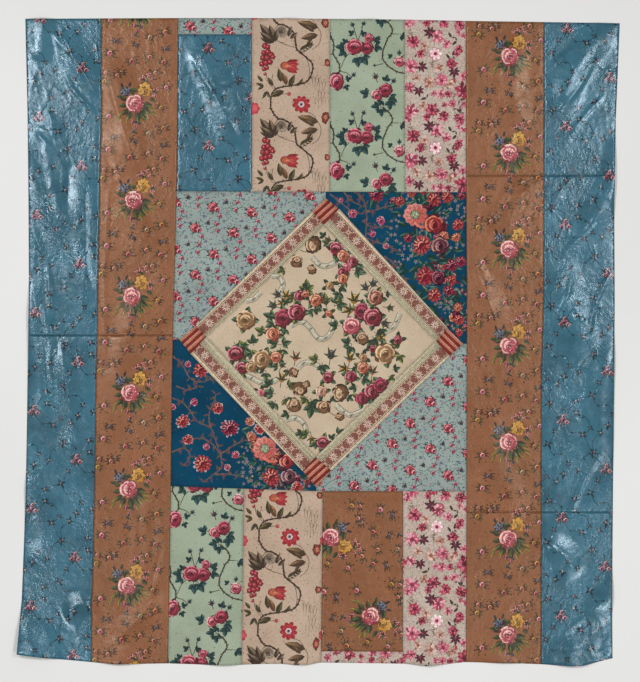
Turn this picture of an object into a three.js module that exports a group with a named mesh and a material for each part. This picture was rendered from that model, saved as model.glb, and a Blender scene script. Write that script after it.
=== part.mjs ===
// Patchwork coverlet of printed and glazed cottons, spread out flat and seen from above.
// Sizes are in millimetres. X runs across the cloth, Y from its foot to its head, and Z is up.
// The origin lies on the surface under the middle of the cloth.
// Each patch is a thin closed sheet. All of them follow one height of low folds, so that
// neighbouring patches keep the same slit between them everywhere.
import * as THREE from "three";

const CLOTH_THICKNESS = 2;
const SEAM_GAP = 0.3;
const LONGEST_CELL = 56;

// Side hems and long seams: their distance from the middle line at stations down the length.
const LONG_SEAMS = [
  { y: 1245, leftHem: -1125, leftMid: -834, leftInner: -538, rightInner: 566, rightMid: 867, rightHem: 1158 },
  { y: 850, leftHem: -1116, leftMid: -834, leftInner: -541, rightInner: 567, rightMid: 867, rightHem: 1142 },
  { y: 545, leftHem: -1113, leftMid: -841, leftInner: -545, rightInner: 568, rightMid: 867, rightHem: 1136 },
  { y: 160, leftHem: -1111, leftMid: -847, leftInner: -555, rightInner: 570, rightMid: 865, rightHem: 1138 },
  { y: -145, leftHem: -1116, leftMid: -854, leftInner: -562, rightInner: 570, rightMid: 857, rightHem: 1136 },
  { y: -605, leftHem: -1124, leftMid: -860, leftInner: -567, rightInner: 569, rightMid: 856, rightHem: 1131 },
  { y: -990, leftHem: -1139, leftMid: -870, leftInner: -573, rightInner: 568, rightMid: 856, rightHem: 1128 },
  { y: -1245, leftHem: -1160, leftMid: -873, leftInner: -578, rightInner: 567, rightMid: 856, rightHem: 1130 },
];

// Short seams between the patches of the head row and of the foot row.
const SHORT_SEAMS = {
  blueCream: { row: "head", headX: -256, footX: -255 },
  creamMint: { row: "head", headX: 45, footX: 44 },
  mintPink: { row: "head", headX: 331, footX: 333 },
  mintCream: { row: "foot", headX: -286, footX: -294 },
  creamBrown: { row: "foot", headX: 17, footX: 10 },
  brownPink: { row: "foot", headX: 325, footX: 324 },
};
const SHORT_SEAM_SPAN = {
  head: { high: 1240, low: 578 },
  foot: { high: -572, low: -1235 },
};

// Edges and seams that run across: their height up the cloth at stations from left to right.
const CROSS_LINES = {
  headHem: [
    { x: -1125, y: 1242 },
    { x: -538, y: 1245 },
    { x: -256, y: 1245 },
    { x: 331, y: 1239 },
    { x: 566, y: 1234 },
    { x: 1158, y: 1225 },
  ],
  footHem: [
    { x: -1158, y: -1196 },
    { x: -1044, y: -1212 },
    { x: -873, y: -1228 },
    { x: -770, y: -1236 },
    { x: -578, y: -1233 },
    { x: -363, y: -1240 },
    { x: -163, y: -1234 },
    { x: -63, y: -1240 },
    { x: 10, y: -1230 },
    { x: 324, y: -1234 },
    { x: 420, y: -1242 },
    { x: 567, y: -1228 },
    { x: 831, y: -1235 },
    { x: 1000, y: -1245 },
    { x: 1130, y: -1213 },
  ],
  headStrip: [
    { x: -538, y: 1183 },
    { x: -256, y: 1182 },
  ],
  headRow: [
    { x: -545, y: 580 },
    { x: 568, y: 576 },
  ],
  footRow: [
    { x: -567, y: -553 },
    { x: 17, y: -572 },
    { x: 569, y: -572 },
  ],
  footStrip: [
    { x: 10, y: -1186 },
    { x: 324, y: -1188 },
  ],
  leftJoin: [{ x: -1000, y: 27 }],
  highJoin: [{ x: 850, y: 640 }],
  lowJoin: [{ x: 850, y: -653 }],
};

// Striped blocks at the four points of the medallion, as corners of the turned square.
const BLOCKS = {
  top: { tip: [29, 553], before: [-25, 502], after: [80, 513], inner: [21, 450] },
  right: { tip: [556, -6], before: [496, 56], after: [503, -55], inner: [452, 5] },
  bottom: { tip: [-8, -557], before: [50, -492], after: [-61, -494], inner: [-11, -440] },
  left: { tip: [-533, 10], before: [-489, -46], after: [-471, 64], inner: [-430, 22] },
};

// Folds: soft ridges from one place to another, with the height and the half width of each.
// A fold that crosses a hem lifts the hem there.
const FOLDS = [
  { fromX: -1000, fromY: 1215, toX: -835, toY: 930, rise: 11, spread: 75 },
  { fromX: -1090, fromY: 1290, toX: -1040, toY: 1060, rise: 9, spread: 70 },
  { fromX: -1050, fromY: 900, toX: -985, toY: 330, rise: 15, spread: 85 },
  { fromX: -905, fromY: 720, toX: -930, toY: 60, rise: 12, spread: 80 },
  { fromX: -1105, fromY: 260, toX: -1060, toY: -300, rise: 14, spread: 75 },
  { fromX: -985, fromY: 20, toX: -935, toY: -420, rise: 12, spread: 90 },
  { fromX: -1160, fromY: -480, toX: -1010, toY: -830, rise: 10, spread: 80 },
  { fromX: -985, fromY: -1060, toX: -860, toY: -985, rise: 12, spread: 70 },
  { fromX: -1290, fromY: -1330, toX: -1040, toY: -1075, rise: 26, spread: 170 },
  { fromX: -820, fromY: 1110, toX: -690, toY: 600, rise: 12, spread: 85 },
  { fromX: -760, fromY: 560, toX: -650, toY: 330, rise: 9, spread: 70 },
  { fromX: -700, fromY: 250, toX: -780, toY: -300, rise: 8, spread: 80 },
  { fromX: -640, fromY: -560, toX: -690, toY: -1010, rise: 13, spread: 75 },
  { fromX: -800, fromY: -1180, toX: -590, toY: -920, rise: 14, spread: 65 },
  { fromX: -500, fromY: 1170, toX: -290, toY: 740, rise: 11, spread: 70 },
  { fromX: -500, fromY: -1080, toX: -430, toY: -860, rise: 9, spread: 65 },
  { fromX: -120, fromY: 1300, toX: -60, toY: 1020, rise: 7, spread: 70 },
  { fromX: 200, fromY: 1300, toX: 180, toY: 960, rise: 7, spread: 75 },
  { fromX: 560, fromY: 340, toX: 700, toY: 20, rise: 11, spread: 75 },
  { fromX: 830, fromY: 610, toX: 660, toY: 430, rise: 13, spread: 80 },
  { fromX: 720, fromY: 1200, toX: 780, toY: 800, rise: 9, spread: 75 },
  { fromX: 640, fromY: -250, toX: 760, toY: -700, rise: 8, spread: 80 },
  { fromX: 1110, fromY: 1260, toX: 900, toY: 850, rise: 15, spread: 80 },
  { fromX: 1190, fromY: 820, toX: 1050, toY: 380, rise: 12, spread: 80 },
  { fromX: 930, fromY: 330, toX: 1010, toY: -120, rise: 11, spread: 95 },
  { fromX: 1130, fromY: 60, toX: 1060, toY: -520, rise: 12, spread: 75 },
  { fromX: 850, fromY: -740, toX: 1010, toY: -900, rise: 11, spread: 75 },
  { fromX: 1190, fromY: -860, toX: 1040, toY: -1090, rise: 10, spread: 70 },
  { fromX: -770, fromY: -1330, toX: -745, toY: -1130, rise: 14, spread: 105 },
  { fromX: -363, fromY: -1330, toX: -345, toY: -1140, rise: 13, spread: 100 },
  { fromX: -63, fromY: -1320, toX: -70, toY: -1150, rise: 11, spread: 75 },
  { fromX: 420, fromY: -1330, toX: 405, toY: -1140, rise: 13, spread: 100 },
  { fromX: 690, fromY: -1330, toX: 700, toY: -1170, rise: 8, spread: 90 },
  { fromX: 1000, fromY: -1340, toX: 985, toY: -1120, rise: 17, spread: 110 },
];
const FOLD_END_SHARE = 0.3;
const FOLD_SWAY = 0.16;

// Colour and finish of each cloth.
const CLOTHS = {
  glazedBlue: { color: 0x46799a, roughness: 0.35 },
  glazedBrown: { color: 0x946548, roughness: 0.45 },
  tealSprig: { color: 0x93aaa6, roughness: 0.75 },
  deepBlue: { color: 0x17537f, roughness: 0.8 },
  creamTrail: { color: 0xc9b193, roughness: 0.85 },
  mintRose: { color: 0xafc29f, roughness: 0.8 },
  pinkSprig: { color: 0xc9a9a5, roughness: 0.85 },
  centreCream: { color: 0xd3bd9c, roughness: 0.85 },
  borderPrint: { color: 0xa78f78, roughness: 0.85 },
  blockStripe: { color: 0x94493c, roughness: 0.8 },
};

// Lengths of the side strips, each between two cross lines.
const LEFT_LENGTHS = [
  { part: "head", foot: "leftJoin", head: "headHem" },
  { part: "foot", foot: "footHem", head: "leftJoin" },
];
const RIGHT_LENGTHS = [
  { part: "head", foot: "highJoin", head: "headHem" },
  { part: "middle", foot: "lowJoin", head: "highJoin" },
  { part: "foot", foot: "footHem", head: "lowJoin" },
];

// Side strips, each between two long seams.
const SIDE_STRIPS = [
  { name: "blue_left", cloth: "glazedBlue", sides: ["leftHem", "leftMid"], lengths: LEFT_LENGTHS },
  { name: "brown_left", cloth: "glazedBrown", sides: ["leftMid", "leftInner"], lengths: LEFT_LENGTHS },
  { name: "brown_right", cloth: "glazedBrown", sides: ["rightInner", "rightMid"], lengths: RIGHT_LENGTHS },
  { name: "blue_right", cloth: "glazedBlue", sides: ["rightMid", "rightHem"], lengths: RIGHT_LENGTHS },
];

// Patches of the head row and of the foot row, each between two seams and two cross lines.
const HEAD_ROW = [
  { name: "strip", cloth: "tealSprig", sides: ["leftInner", "blueCream"], foot: "headStrip", head: "headHem" },
  { name: "blue", cloth: "glazedBlue", sides: ["leftInner", "blueCream"], foot: "headRow", head: "headStrip" },
  { name: "cream", cloth: "creamTrail", sides: ["blueCream", "creamMint"], foot: "headRow", head: "headHem" },
  { name: "mint", cloth: "mintRose", sides: ["creamMint", "mintPink"], foot: "headRow", head: "headHem" },
  { name: "pink", cloth: "pinkSprig", sides: ["mintPink", "rightInner"], foot: "headRow", head: "headHem" },
];
const FOOT_ROW = [
  { name: "mint", cloth: "mintRose", sides: ["leftInner", "mintCream"], foot: "footHem", head: "footRow" },
  { name: "cream", cloth: "creamTrail", sides: ["mintCream", "creamBrown"], foot: "footHem", head: "footRow" },
  { name: "brown", cloth: "glazedBrown", sides: ["creamBrown", "brownPink"], foot: "footStrip", head: "footRow" },
  { name: "strip", cloth: "pinkSprig", sides: ["creamBrown", "brownPink"], foot: "footHem", head: "footStrip" },
  { name: "pink", cloth: "pinkSprig", sides: ["brownPink", "rightInner"], foot: "footHem", head: "footRow" },
];

// Corner pieces of the middle square, each between two outer seams and two striped blocks.
const CORNERS = [
  { name: "head_left", cloth: "tealSprig", side: "leftInner", cross: "headRow", from: "left", to: "top" },
  { name: "head_right", cloth: "deepBlue", side: "rightInner", cross: "headRow", from: "right", to: "top" },
  { name: "foot_right", cloth: "tealSprig", side: "rightInner", cross: "footRow", from: "right", to: "bottom" },
  { name: "foot_left", cloth: "deepBlue", side: "leftInner", cross: "footRow", from: "left", to: "bottom" },
];
const CORNER_CELLS_ACROSS = 5;

// Printed borders of the medallion, each from one block round to the next.
const BORDERS = [
  { name: "head_right", from: "top", to: "right" },
  { name: "foot_right", from: "right", to: "bottom" },
  { name: "foot_left", from: "bottom", to: "left" },
  { name: "head_left", from: "left", to: "top" },
];

// Reads a column of a table of stations, straight between one station and the next.
function readStations(rows, along, column, place) {
  const sorted = [...rows].sort((a, b) => a[along] - b[along]);
  const next = sorted.findIndex((row) => row[along] >= place);
  if (next === 0) return sorted[0][column];
  if (next === -1) return sorted[sorted.length - 1][column];
  const before = sorted[next - 1];
  const after = sorted[next];
  const share = (place - before[along]) / (after[along] - before[along]);
  return THREE.MathUtils.lerp(before[column], after[column], share);
}

// X of a long or short seam at a height up the cloth.
function seamX(seam, y) {
  if (!(seam in SHORT_SEAMS)) return readStations(LONG_SEAMS, "y", seam, y);
  const span = SHORT_SEAM_SPAN[SHORT_SEAMS[seam].row];
  const share = (span.high - y) / (span.high - span.low);
  return THREE.MathUtils.lerp(SHORT_SEAMS[seam].headX, SHORT_SEAMS[seam].footX, share);
}

// Y of a hem or cross seam at a distance from the middle line.
function crossY(line, x) {
  return readStations(CROSS_LINES[line], "x", "y", x);
}

// Point where a side seam meets a cross line.
function meeting(seam, line) {
  let y = crossY(line, seamX(seam, 0));
  for (let pass = 0; pass < 4; pass += 1) y = crossY(line, seamX(seam, y));
  return new THREE.Vector2(seamX(seam, y), y);
}

// Stations of the long seams that lie between two heights, without those at its ends.
function stationsBetween(low, high) {
  const clear = LONGEST_CELL / 4;
  return LONG_SEAMS.map((row) => row.y)
    .filter((y) => y > low + clear && y < high - clear)
    .sort((a, b) => a - b);
}

// Adds even steps between the points of a path, so that no step is longer than a cell.
function stepAlong(points) {
  const path = [points[0]];
  for (let k = 1; k < points.length; k += 1) {
    const steps = Math.ceil(points[k].distanceTo(points[k - 1]) / LONGEST_CELL);
    for (let s = 1; s <= steps; s += 1) path.push(points[k - 1].clone().lerp(points[k], s / steps));
  }
  return path;
}

// Places as many points on a path as another path has, at the same shares of its length.
function matchSteps(points, other) {
  const spans = (path) => path.slice(1).map((point, k) => point.distanceTo(path[k]));
  const total = (lengths) => lengths.reduce((sum, length) => sum + length, 0);
  const own = spans(points);
  const others = spans(other);
  let walked = 0;
  return other.map((_, k) => {
    if (k > 0) walked += others[k - 1];
    let left = (walked / total(others)) * total(own);
    let piece = 0;
    while (piece < own.length - 1 && left > own[piece]) {
      left -= own[piece];
      piece += 1;
    }
    return points[piece].clone().lerp(points[piece + 1], Math.min(1, left / own[piece]));
  });
}

// Rows of points between two paths of as many points each.
function rowsBetween(lower, upper, cells) {
  const between = (share) => lower.map((point, k) => point.clone().lerp(upper[k], share));
  return Array.from({ length: cells + 1 }, (_, row) => between(row / cells));
}

// Rows of points of a patch between two side seams and two cross lines.
function patchRows([left, right], foot, head) {
  const lowest = meeting(left, foot).y;
  const highest = meeting(left, head).y;
  const levels = [lowest, ...stationsBetween(lowest, highest), highest];
  const heights = stepAlong(levels.map((y) => new THREE.Vector2(0, y))).map((level) => level.y);
  const width = seamX(right, lowest) - seamX(left, lowest);
  const cells = Math.ceil(width / LONGEST_CELL);
  return heights.map((level, row) => {
    const line = row === 0 ? foot : row === heights.length - 1 ? head : null;
    return Array.from({ length: cells + 1 }, (_, cell) => {
      const share = cell / cells;
      const across = (y) => THREE.MathUtils.lerp(seamX(left, y), seamX(right, y), share);
      if (line === null) return new THREE.Vector2(across(level), level);
      if (cell === 0) return meeting(left, line);
      if (cell === cells) return meeting(right, line);
      const y = crossY(line, across(level));
      return new THREE.Vector2(across(y), y);
    });
  });
}

const toPoint = ([x, y]) => new THREE.Vector2(x, y);

// Rows of points of a corner piece, from the medallion's edge out to the square's corner.
function cornerRows({ side, cross, from, to }) {
  const sideTip = toPoint(BLOCKS[from].tip);
  const crossTip = toPoint(BLOCKS[to].tip);
  const square = meeting(side, cross);
  const start = new THREE.Vector2(seamX(side, sideTip.y), sideTip.y);
  const end = new THREE.Vector2(crossTip.x, crossY(cross, crossTip.x));
  const low = Math.min(start.y, square.y);
  const high = Math.max(start.y, square.y);
  const stations = stationsBetween(low, high).map((y) => new THREE.Vector2(seamX(side, y), y));
  if (square.y < start.y) stations.reverse();
  const kinks = CROSS_LINES[cross].slice(1, -1).map((row) => new THREE.Vector2(row.x, row.y));
  const crossed = kinks.filter((kink) => (kink.x - square.x) * (kink.x - end.x) < 0);
  const outer = stepAlong([start, ...stations, square, ...crossed, end]);
  const nearest = (block, target) => {
    const sides = [toPoint(BLOCKS[block].before), toPoint(BLOCKS[block].after)];
    return sides[0].distanceTo(target) < sides[1].distanceTo(target) ? sides[0] : sides[1];
  };
  const edge = [sideTip, nearest(from, crossTip), nearest(to, sideTip), crossTip];
  return rowsBetween(cornerEdge(edge, outer), outer, CORNER_CELLS_ACROSS);
}

// Points on the medallion's edge, one for each outer point, with the edge's own bends kept.
function cornerEdge(edge, outer) {
  const placed = matchSteps(edge, outer);
  for (const bend of edge.slice(1, -1)) {
    const gaps = placed.map((point) => point.distanceTo(bend));
    const closest = gaps.indexOf(Math.min(...gaps.slice(1, -1)));
    placed[closest] = bend.clone();
  }
  return placed;
}

// Rows of points of a four-cornered piece of the medallion.
function quadRows(a, b, c, d) {
  const lower = stepAlong([a, b]);
  const upper = matchSteps([d, c], lower);
  const cells = Math.ceil(Math.max(a.distanceTo(d), b.distanceTo(c)) / LONGEST_CELL);
  return rowsBetween(lower, upper, cells);
}

// Height of the folds over a place. It is nought wherever the cloth lies flat.
function foldHeight(x, y) {
  let squares = 0;
  for (const fold of FOLDS) {
    const run = new THREE.Vector2(fold.toX - fold.fromX, fold.toY - fold.fromY);
    const reach = new THREE.Vector2(x - fold.fromX, y - fold.fromY);
    const share = reach.dot(run) / run.lengthSq();
    if (share <= 0 || share >= 1) continue;
    const sway = FOLD_SWAY * fold.spread * Math.sin(2 * Math.PI * share + fold.fromX);
    const aside = Math.abs(run.cross(reach) / run.length() + sway) / fold.spread;
    if (aside >= 1) continue;
    const ends = THREE.MathUtils.smoothstep(Math.min(share, 1 - share), 0, FOLD_END_SHARE);
    const rise = fold.rise * ends * (0.5 + 0.5 * Math.cos(Math.PI * aside));
    squares += rise * rise;
  }
  return Math.sqrt(squares);
}

// Loop of grid places round the rim of the rows, counter-clockwise where the rows are.
function rimOf(rows) {
  const last = rows.length - 1;
  const end = rows[0].length - 1;
  const rim = [];
  for (let k = 0; k < end; k += 1) rim.push([0, k]);
  for (let k = 0; k < last; k += 1) rim.push([k, end]);
  for (let k = end; k > 0; k -= 1) rim.push([last, k]);
  for (let k = last; k > 0; k -= 1) rim.push([k, 0]);
  return rim;
}

// Turns the rows so that their rim runs counter-clockwise seen from above.
function facingUp(rows) {
  const outline = rimOf(rows).map(([row, cell]) => rows[row][cell]);
  return THREE.ShapeUtils.area(outline) > 0 ? rows : rows.map((row) => [...row].reverse());
}

// Draws the rim in by half the seam gap, square to its two edges at each point.
function drawInRim(rows) {
  const rim = rimOf(rows);
  const before = rim.map(([row, cell]) => rows[row][cell].clone());
  rim.forEach(([row, cell], k) => {
    const previous = before[(k + before.length - 1) % before.length];
    const next = before[(k + 1) % before.length];
    const inward = (a, b) => new THREE.Vector2(a.y - b.y, b.x - a.x).normalize();
    const first = inward(previous, before[k]);
    const second = inward(before[k], next);
    const mitre = first.clone().add(second);
    mitre.multiplyScalar(SEAM_GAP / 2 / (1 + first.dot(second)));
    rows[row][cell].add(mitre);
  });
  return rows;
}

// Closed thin sheet over rows of points, with each cell split along its lower bend.
function sheetGeometry(plan) {
  const rows = drawInRim(facingUp(plan));
  const across = rows[0].length;
  const places = rows.flat();
  const heights = places.map((place) => foldHeight(place.x, place.y));
  const place = (row, cell) => row * across + cell;
  const faces = [];
  for (let row = 0; row < rows.length - 1; row += 1) {
    for (let cell = 0; cell < across - 1; cell += 1) {
      const [a, b] = [place(row, cell), place(row, cell + 1)];
      const [c, d] = [place(row + 1, cell + 1), place(row + 1, cell)];
      const splitAlongAC = Math.abs(heights[a] - heights[c]) <= Math.abs(heights[b] - heights[d]);
      if (splitAlongAC) faces.push([a, b, c], [a, c, d]);
      else faces.push([a, b, d], [b, c, d]);
    }
  }
  const under = places.length;
  const index = [];
  for (const [a, b, c] of faces) index.push(a, b, c, under + c, under + b, under + a);
  const rim = rimOf(rows).map(([row, cell]) => place(row, cell));
  rim.forEach((from, k) => {
    const to = rim[(k + 1) % rim.length];
    index.push(under + from, under + to, to, under + from, to, from);
  });
  const upper = places.flatMap((at, k) => [at.x, at.y, heights[k] + CLOTH_THICKNESS]);
  const lower = places.flatMap((at, k) => [at.x, at.y, heights[k]]);
  const geometry = new THREE.BufferGeometry();
  geometry.setAttribute("position", new THREE.Float32BufferAttribute([...upper, ...lower], 3));
  geometry.setIndex(index);
  geometry.computeVertexNormals();
  return geometry;
}

const coverlet = new THREE.Group();

// Adds one piece of cloth to the coverlet.
function sew(name, cloth, rows) {
  const material = new THREE.MeshStandardMaterial({ ...CLOTHS[cloth], metalness: 0 });
  const mesh = new THREE.Mesh(sheetGeometry(rows), material);
  mesh.name = name;
  coverlet.add(mesh);
}

for (const strip of SIDE_STRIPS) {
  for (const { part, foot, head } of strip.lengths) {
    sew(`${strip.name}_${part}`, strip.cloth, patchRows(strip.sides, foot, head));
  }
}

for (const [row, patches] of Object.entries({ head: HEAD_ROW, foot: FOOT_ROW })) {
  for (const { name, cloth, sides, foot, head } of patches) {
    sew(`${row}_${name}`, cloth, patchRows(sides, foot, head));
  }
}

for (const corner of CORNERS) sew(`corner_${corner.name}`, corner.cloth, cornerRows(corner));

for (const border of BORDERS) {
  const from = BLOCKS[border.from];
  const to = BLOCKS[border.to];
  const corners = [from.inner, to.inner, to.before, from.after].map(toPoint);
  sew(`border_${border.name}`, "borderPrint", quadRows(...corners));
}

for (const [name, block] of Object.entries(BLOCKS)) {
  const corners = [block.inner, block.before, block.tip, block.after].map(toPoint);
  sew(`block_${name}`, "blockStripe", quadRows(...corners));
}

const centre = Object.values(BLOCKS).map((block) => toPoint(block.inner));
sew("centre_panel", "centreCream", quadRows(...centre));

// The origin lies under the middle of the whole cloth.
const middle = new THREE.Box3().setFromObject(coverlet).getCenter(new THREE.Vector3());
coverlet.position.set(-middle.x, -middle.y, 0);

export default coverlet;
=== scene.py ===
"""Patchwork coverlet: each patch is a thin printed cloth that lies on the folds of its solid."""

import math
import random

import bpy
import numpy as np
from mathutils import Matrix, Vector
from mathutils.geometry import delaunay_2d_cdt


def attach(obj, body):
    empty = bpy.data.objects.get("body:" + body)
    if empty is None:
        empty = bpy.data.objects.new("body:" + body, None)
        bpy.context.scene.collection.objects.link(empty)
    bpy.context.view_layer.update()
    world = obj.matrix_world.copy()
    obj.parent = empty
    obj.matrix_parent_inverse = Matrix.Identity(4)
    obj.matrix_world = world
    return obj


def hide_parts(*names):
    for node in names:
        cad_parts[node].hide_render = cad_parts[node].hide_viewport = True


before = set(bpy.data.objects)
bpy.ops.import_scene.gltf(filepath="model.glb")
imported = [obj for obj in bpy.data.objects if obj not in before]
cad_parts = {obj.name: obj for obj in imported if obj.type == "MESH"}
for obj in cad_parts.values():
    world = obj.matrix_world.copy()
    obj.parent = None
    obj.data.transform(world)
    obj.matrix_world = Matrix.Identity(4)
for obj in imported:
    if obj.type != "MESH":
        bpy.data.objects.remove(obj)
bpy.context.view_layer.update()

# The prints are charted on squares of one size, counted from the left and down from the head.
SQUARE = 0.00384
CHART_MIDDLE = (318.5, 342.0)
MEDALLION_MIDDLE = (321.0, 341.0)
MM = 0.001

# Cloth
CLOTH_TOP = 1.5 * MM
RIM_STEP = 6 * MM
GLAZED_PITCH = 7.5 * MM
PLAIN_PITCH = 11 * MM
UNDER_PITCH = 26 * MM
RIM_CLEARANCE = 0.55
GLAZED = ("glazed_blue", "glazed_brown")


# Colours

def tone(text):
    """Linear colour of a six-digit hex colour."""
    channels = [int(text[k : k + 2], 16) / 255 for k in (0, 2, 4)]
    return tuple(c / 12.92 if c <= 0.04045 else ((c + 0.055) / 1.055) ** 2.4 for c in channels)


def inks(text):
    """Linear colours of a few hex colours, dark ones first."""
    return tuple(tone(part) for part in text.split())


def blend(first, second, share):
    """Colour between two colours."""
    return tuple(a + (b - a) * share for a, b in zip(first, second))


# Folds of the solids: soft ridges, each as where it starts, where it ends, rise and half width in mm
FOLDS = [
    (-1000, 1215, -835, 930, 11, 75), (-1090, 1290, -1040, 1060, 9, 70), (-1050, 900, -985, 330, 15, 85),
    (-905, 720, -930, 60, 12, 80), (-1105, 260, -1060, -300, 14, 75), (-985, 20, -935, -420, 12, 90),
    (-1160, -480, -1010, -830, 10, 80), (-985, -1060, -860, -985, 12, 70),
    (-1290, -1330, -1040, -1075, 26, 170), (-820, 1110, -690, 600, 12, 85), (-760, 560, -650, 330, 9, 70),
    (-700, 250, -780, -300, 8, 80), (-640, -560, -690, -1010, 13, 75), (-800, -1180, -590, -920, 14, 65),
    (-500, 1170, -290, 740, 11, 70), (-500, -1080, -430, -860, 9, 65), (-120, 1300, -60, 1020, 7, 70),
    (200, 1300, 180, 960, 7, 75), (560, 340, 700, 20, 11, 75), (830, 610, 660, 430, 13, 80),
    (720, 1200, 780, 800, 9, 75), (640, -250, 760, -700, 8, 80), (1110, 1260, 900, 850, 15, 80),
    (1190, 820, 1050, 380, 12, 80), (930, 330, 1010, -120, 11, 95), (1130, 60, 1060, -520, 12, 75),
    (850, -740, 1010, -900, 11, 75), (1190, -860, 1040, -1090, 10, 70), (-770, -1330, -745, -1130, 14, 105),
    (-363, -1330, -345, -1140, 13, 100), (-63, -1320, -70, -1150, 11, 75),
    (420, -1330, 405, -1140, 13, 100), (690, -1330, 700, -1170, 8, 90), (1000, -1340, 985, -1120, 17, 110),
]
FOLD_END_SHARE = 0.3
FOLD_SWAY = 0.16
CREASE_SWAY = 0.35

# Creases pressed or dragged into the cloth: ends in chart squares, rise and half width in mm
CREASES = [
    (58, 27, 98, 97, 4.2, 15), (50, 27, 72, 60, 3.0, 14), (58, 66, 97, 119, 4.4, 15),
    (46, 108, 57, 138, 4.2, 14), (55, 132, 67, 170, 4.4, 15), (37, 130, 48, 148, 3.0, 13),
    (32, 222, 48, 268, 4.0, 15), (46, 262, 53, 330, 3.6, 15), (84, 250, 96, 300, 3.0, 14),
    (88, 160, 82, 330, 2.4, 14), (36, 286, 52, 412, 3.2, 15), (60, 330, 72, 430, 2.0, 12),
    (62, 612, 97, 598, 3.0, 12), (75, 640, 95, 622, 2.2, 11), (104, 60, 140, 182, 2.2, 14),
    (130, 225, 146, 252, 2.2, 12), (107, 180, 104, 385, 2.6, 10), (149, 602, 163, 538, 2.8, 12),
    (112, 644, 168, 588, 3.8, 13), (140, 618, 170, 606, 2.2, 12), (186, 44, 242, 146, 2.6, 12),
    (321.5, 22, 321, 190, 1.4, 6), (323, 232, 323.5, 300, 1.2, 6), (188, 618, 201, 572, 2.0, 12),
    (532, 182, 500, 216, 2.4, 15), (470, 254, 502, 332, 2.2, 14), (550, 70, 578, 42, 3.4, 14),
    (552, 122, 596, 62, 4.0, 15), (556, 152, 606, 92, 3.0, 14), (548, 214, 574, 172, 3.4, 15),
    (560, 262, 604, 206, 3.8, 16), (584, 340, 610, 268, 4.0, 16), (552, 330, 576, 268, 3.4, 15),
    (548, 440, 590, 380, 3.6, 16), (566, 520, 606, 440, 3.8, 16), (570, 300, 592, 332, 2.2, 13),
    (543, 538, 578, 572, 2.8, 12), (560, 640, 606, 596, 2.6, 13),
]


def ridge_heights(points, ridges, sway):
    """Heights of a table of ridges over many points. It is nought away from them."""
    squares = np.zeros(len(points))
    for from_x, from_y, to_x, to_y, rise, spread in ridges:
        start = np.array((from_x, from_y), float)
        run = np.array((to_x, to_y), float) - start
        length = np.hypot(*run)
        reach = points - start
        share = reach @ run / length**2
        bend = sway * spread * np.sin(2 * np.pi * share + start[0])
        aside = np.abs((run[0] * reach[:, 1] - run[1] * reach[:, 0]) / length + bend) / spread
        ends = np.clip(np.minimum(share, 1 - share) / FOLD_END_SHARE, 0, 1)
        ends = ends * ends * (3 - 2 * ends)
        height = rise * ends * (0.5 + 0.5 * np.cos(np.pi * np.clip(aside, 0, 1)))
        squares += height * height
    return np.sqrt(squares)


def fold_heights(points):
    """Height of the solids' folds, in metres."""
    return ridge_heights(points / MM, FOLDS, FOLD_SWAY) * MM


def crease_heights(points):
    """Height of the narrow creases, in metres."""
    ridges = [
        (*to_millimetres((from_x, from_y)), *to_millimetres((to_x, to_y)), rise, spread)
        for from_x, from_y, to_x, to_y, rise, spread in CREASES
    ]
    return ridge_heights(points / MM, ridges, CREASE_SWAY) * MM


def to_millimetres(place):
    """Chart place in millimetres of the part's frame."""
    return (
        (place[0] - CHART_MIDDLE[0]) * SQUARE / MM,
        (CHART_MIDDLE[1] - place[1]) * SQUARE / MM,
    )


def waves(points, seed, size, count=14, grain=(1.0, 1.0)):
    """Smooth uneven field between about -1 and 1, with swells of a size in metres."""
    draw = random.Random(seed)
    field = np.zeros(len(points))
    for _ in range(count):
        angle = draw.uniform(0, math.tau)
        pace = math.tau / size * draw.uniform(0.55, 1.5)
        phase = draw.uniform(0, math.tau)
        heading = (math.cos(angle) * grain[0], math.sin(angle) * grain[1])
        field += np.sin((points @ heading) * pace + phase)
    return field / math.sqrt(count / 2) / 1.6


# Plan outlines, read from the rims of the solids

def outline_of(node):
    """Corner points of a node's outline, counter-clockwise, from the rim of its upper side."""
    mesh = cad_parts[node].data
    spots = [tuple(round(value, 6) for value in vertex.co) for vertex in mesh.vertices]
    edges = set()
    for face in mesh.polygons:
        if face.normal.z < 0.5:
            continue
        loop = [spots[index] for index in face.vertices]
        for a, b in zip(loop, loop[1:] + loop[:1]):
            if (b, a) in edges:
                edges.remove((b, a))
            else:
                edges.add((a, b))
    following = dict(edges)
    start = min(following)
    rim = [start]
    while following[rim[-1]] != start:
        rim.append(following[rim[-1]])
    return np.array([spot[:2] for spot in rim])


def fine_outline(corners):
    """Outline with extra points, no further apart than the rim's step."""
    points = []
    for a, b in zip(corners, np.roll(corners, -1, axis=0)):
        steps = max(1, math.ceil(np.hypot(*(b - a)) / RIM_STEP))
        points.extend(a + (b - a) * k / steps for k in range(steps))
    return np.array(points)


def rim_reading(points, outline):
    """Distance of each point from the outline, and how far along the outline its foot lies."""
    nearest = np.full(len(points), 1e9)
    along = np.zeros(len(points))
    walked = 0.0
    for a, b in zip(outline, np.roll(outline, -1, axis=0)):
        run = b - a
        length = np.hypot(*run)
        share = np.clip((points - a) @ run / length**2, 0, 1)
        gap = np.hypot(*(points - a - share[:, None] * run).T)
        closer = gap < nearest
        nearest[closer] = gap[closer]
        along[closer] = walked + share[closer] * length
        walked += length
    return nearest, along


def inside(points, outline):
    """Which points lie within an outline."""
    result = np.zeros(len(points), bool)
    for a, b in zip(outline, np.roll(outline, -1, axis=0)):
        crosses = (a[1] > points[:, 1]) != (b[1] > points[:, 1])
        slope = (b[0] - a[0]) / (b[1] - a[1]) if b[1] != a[1] else 0.0
        result ^= crosses & (points[:, 0] < a[0] + (points[:, 1] - a[1]) * slope)
    return result


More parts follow.
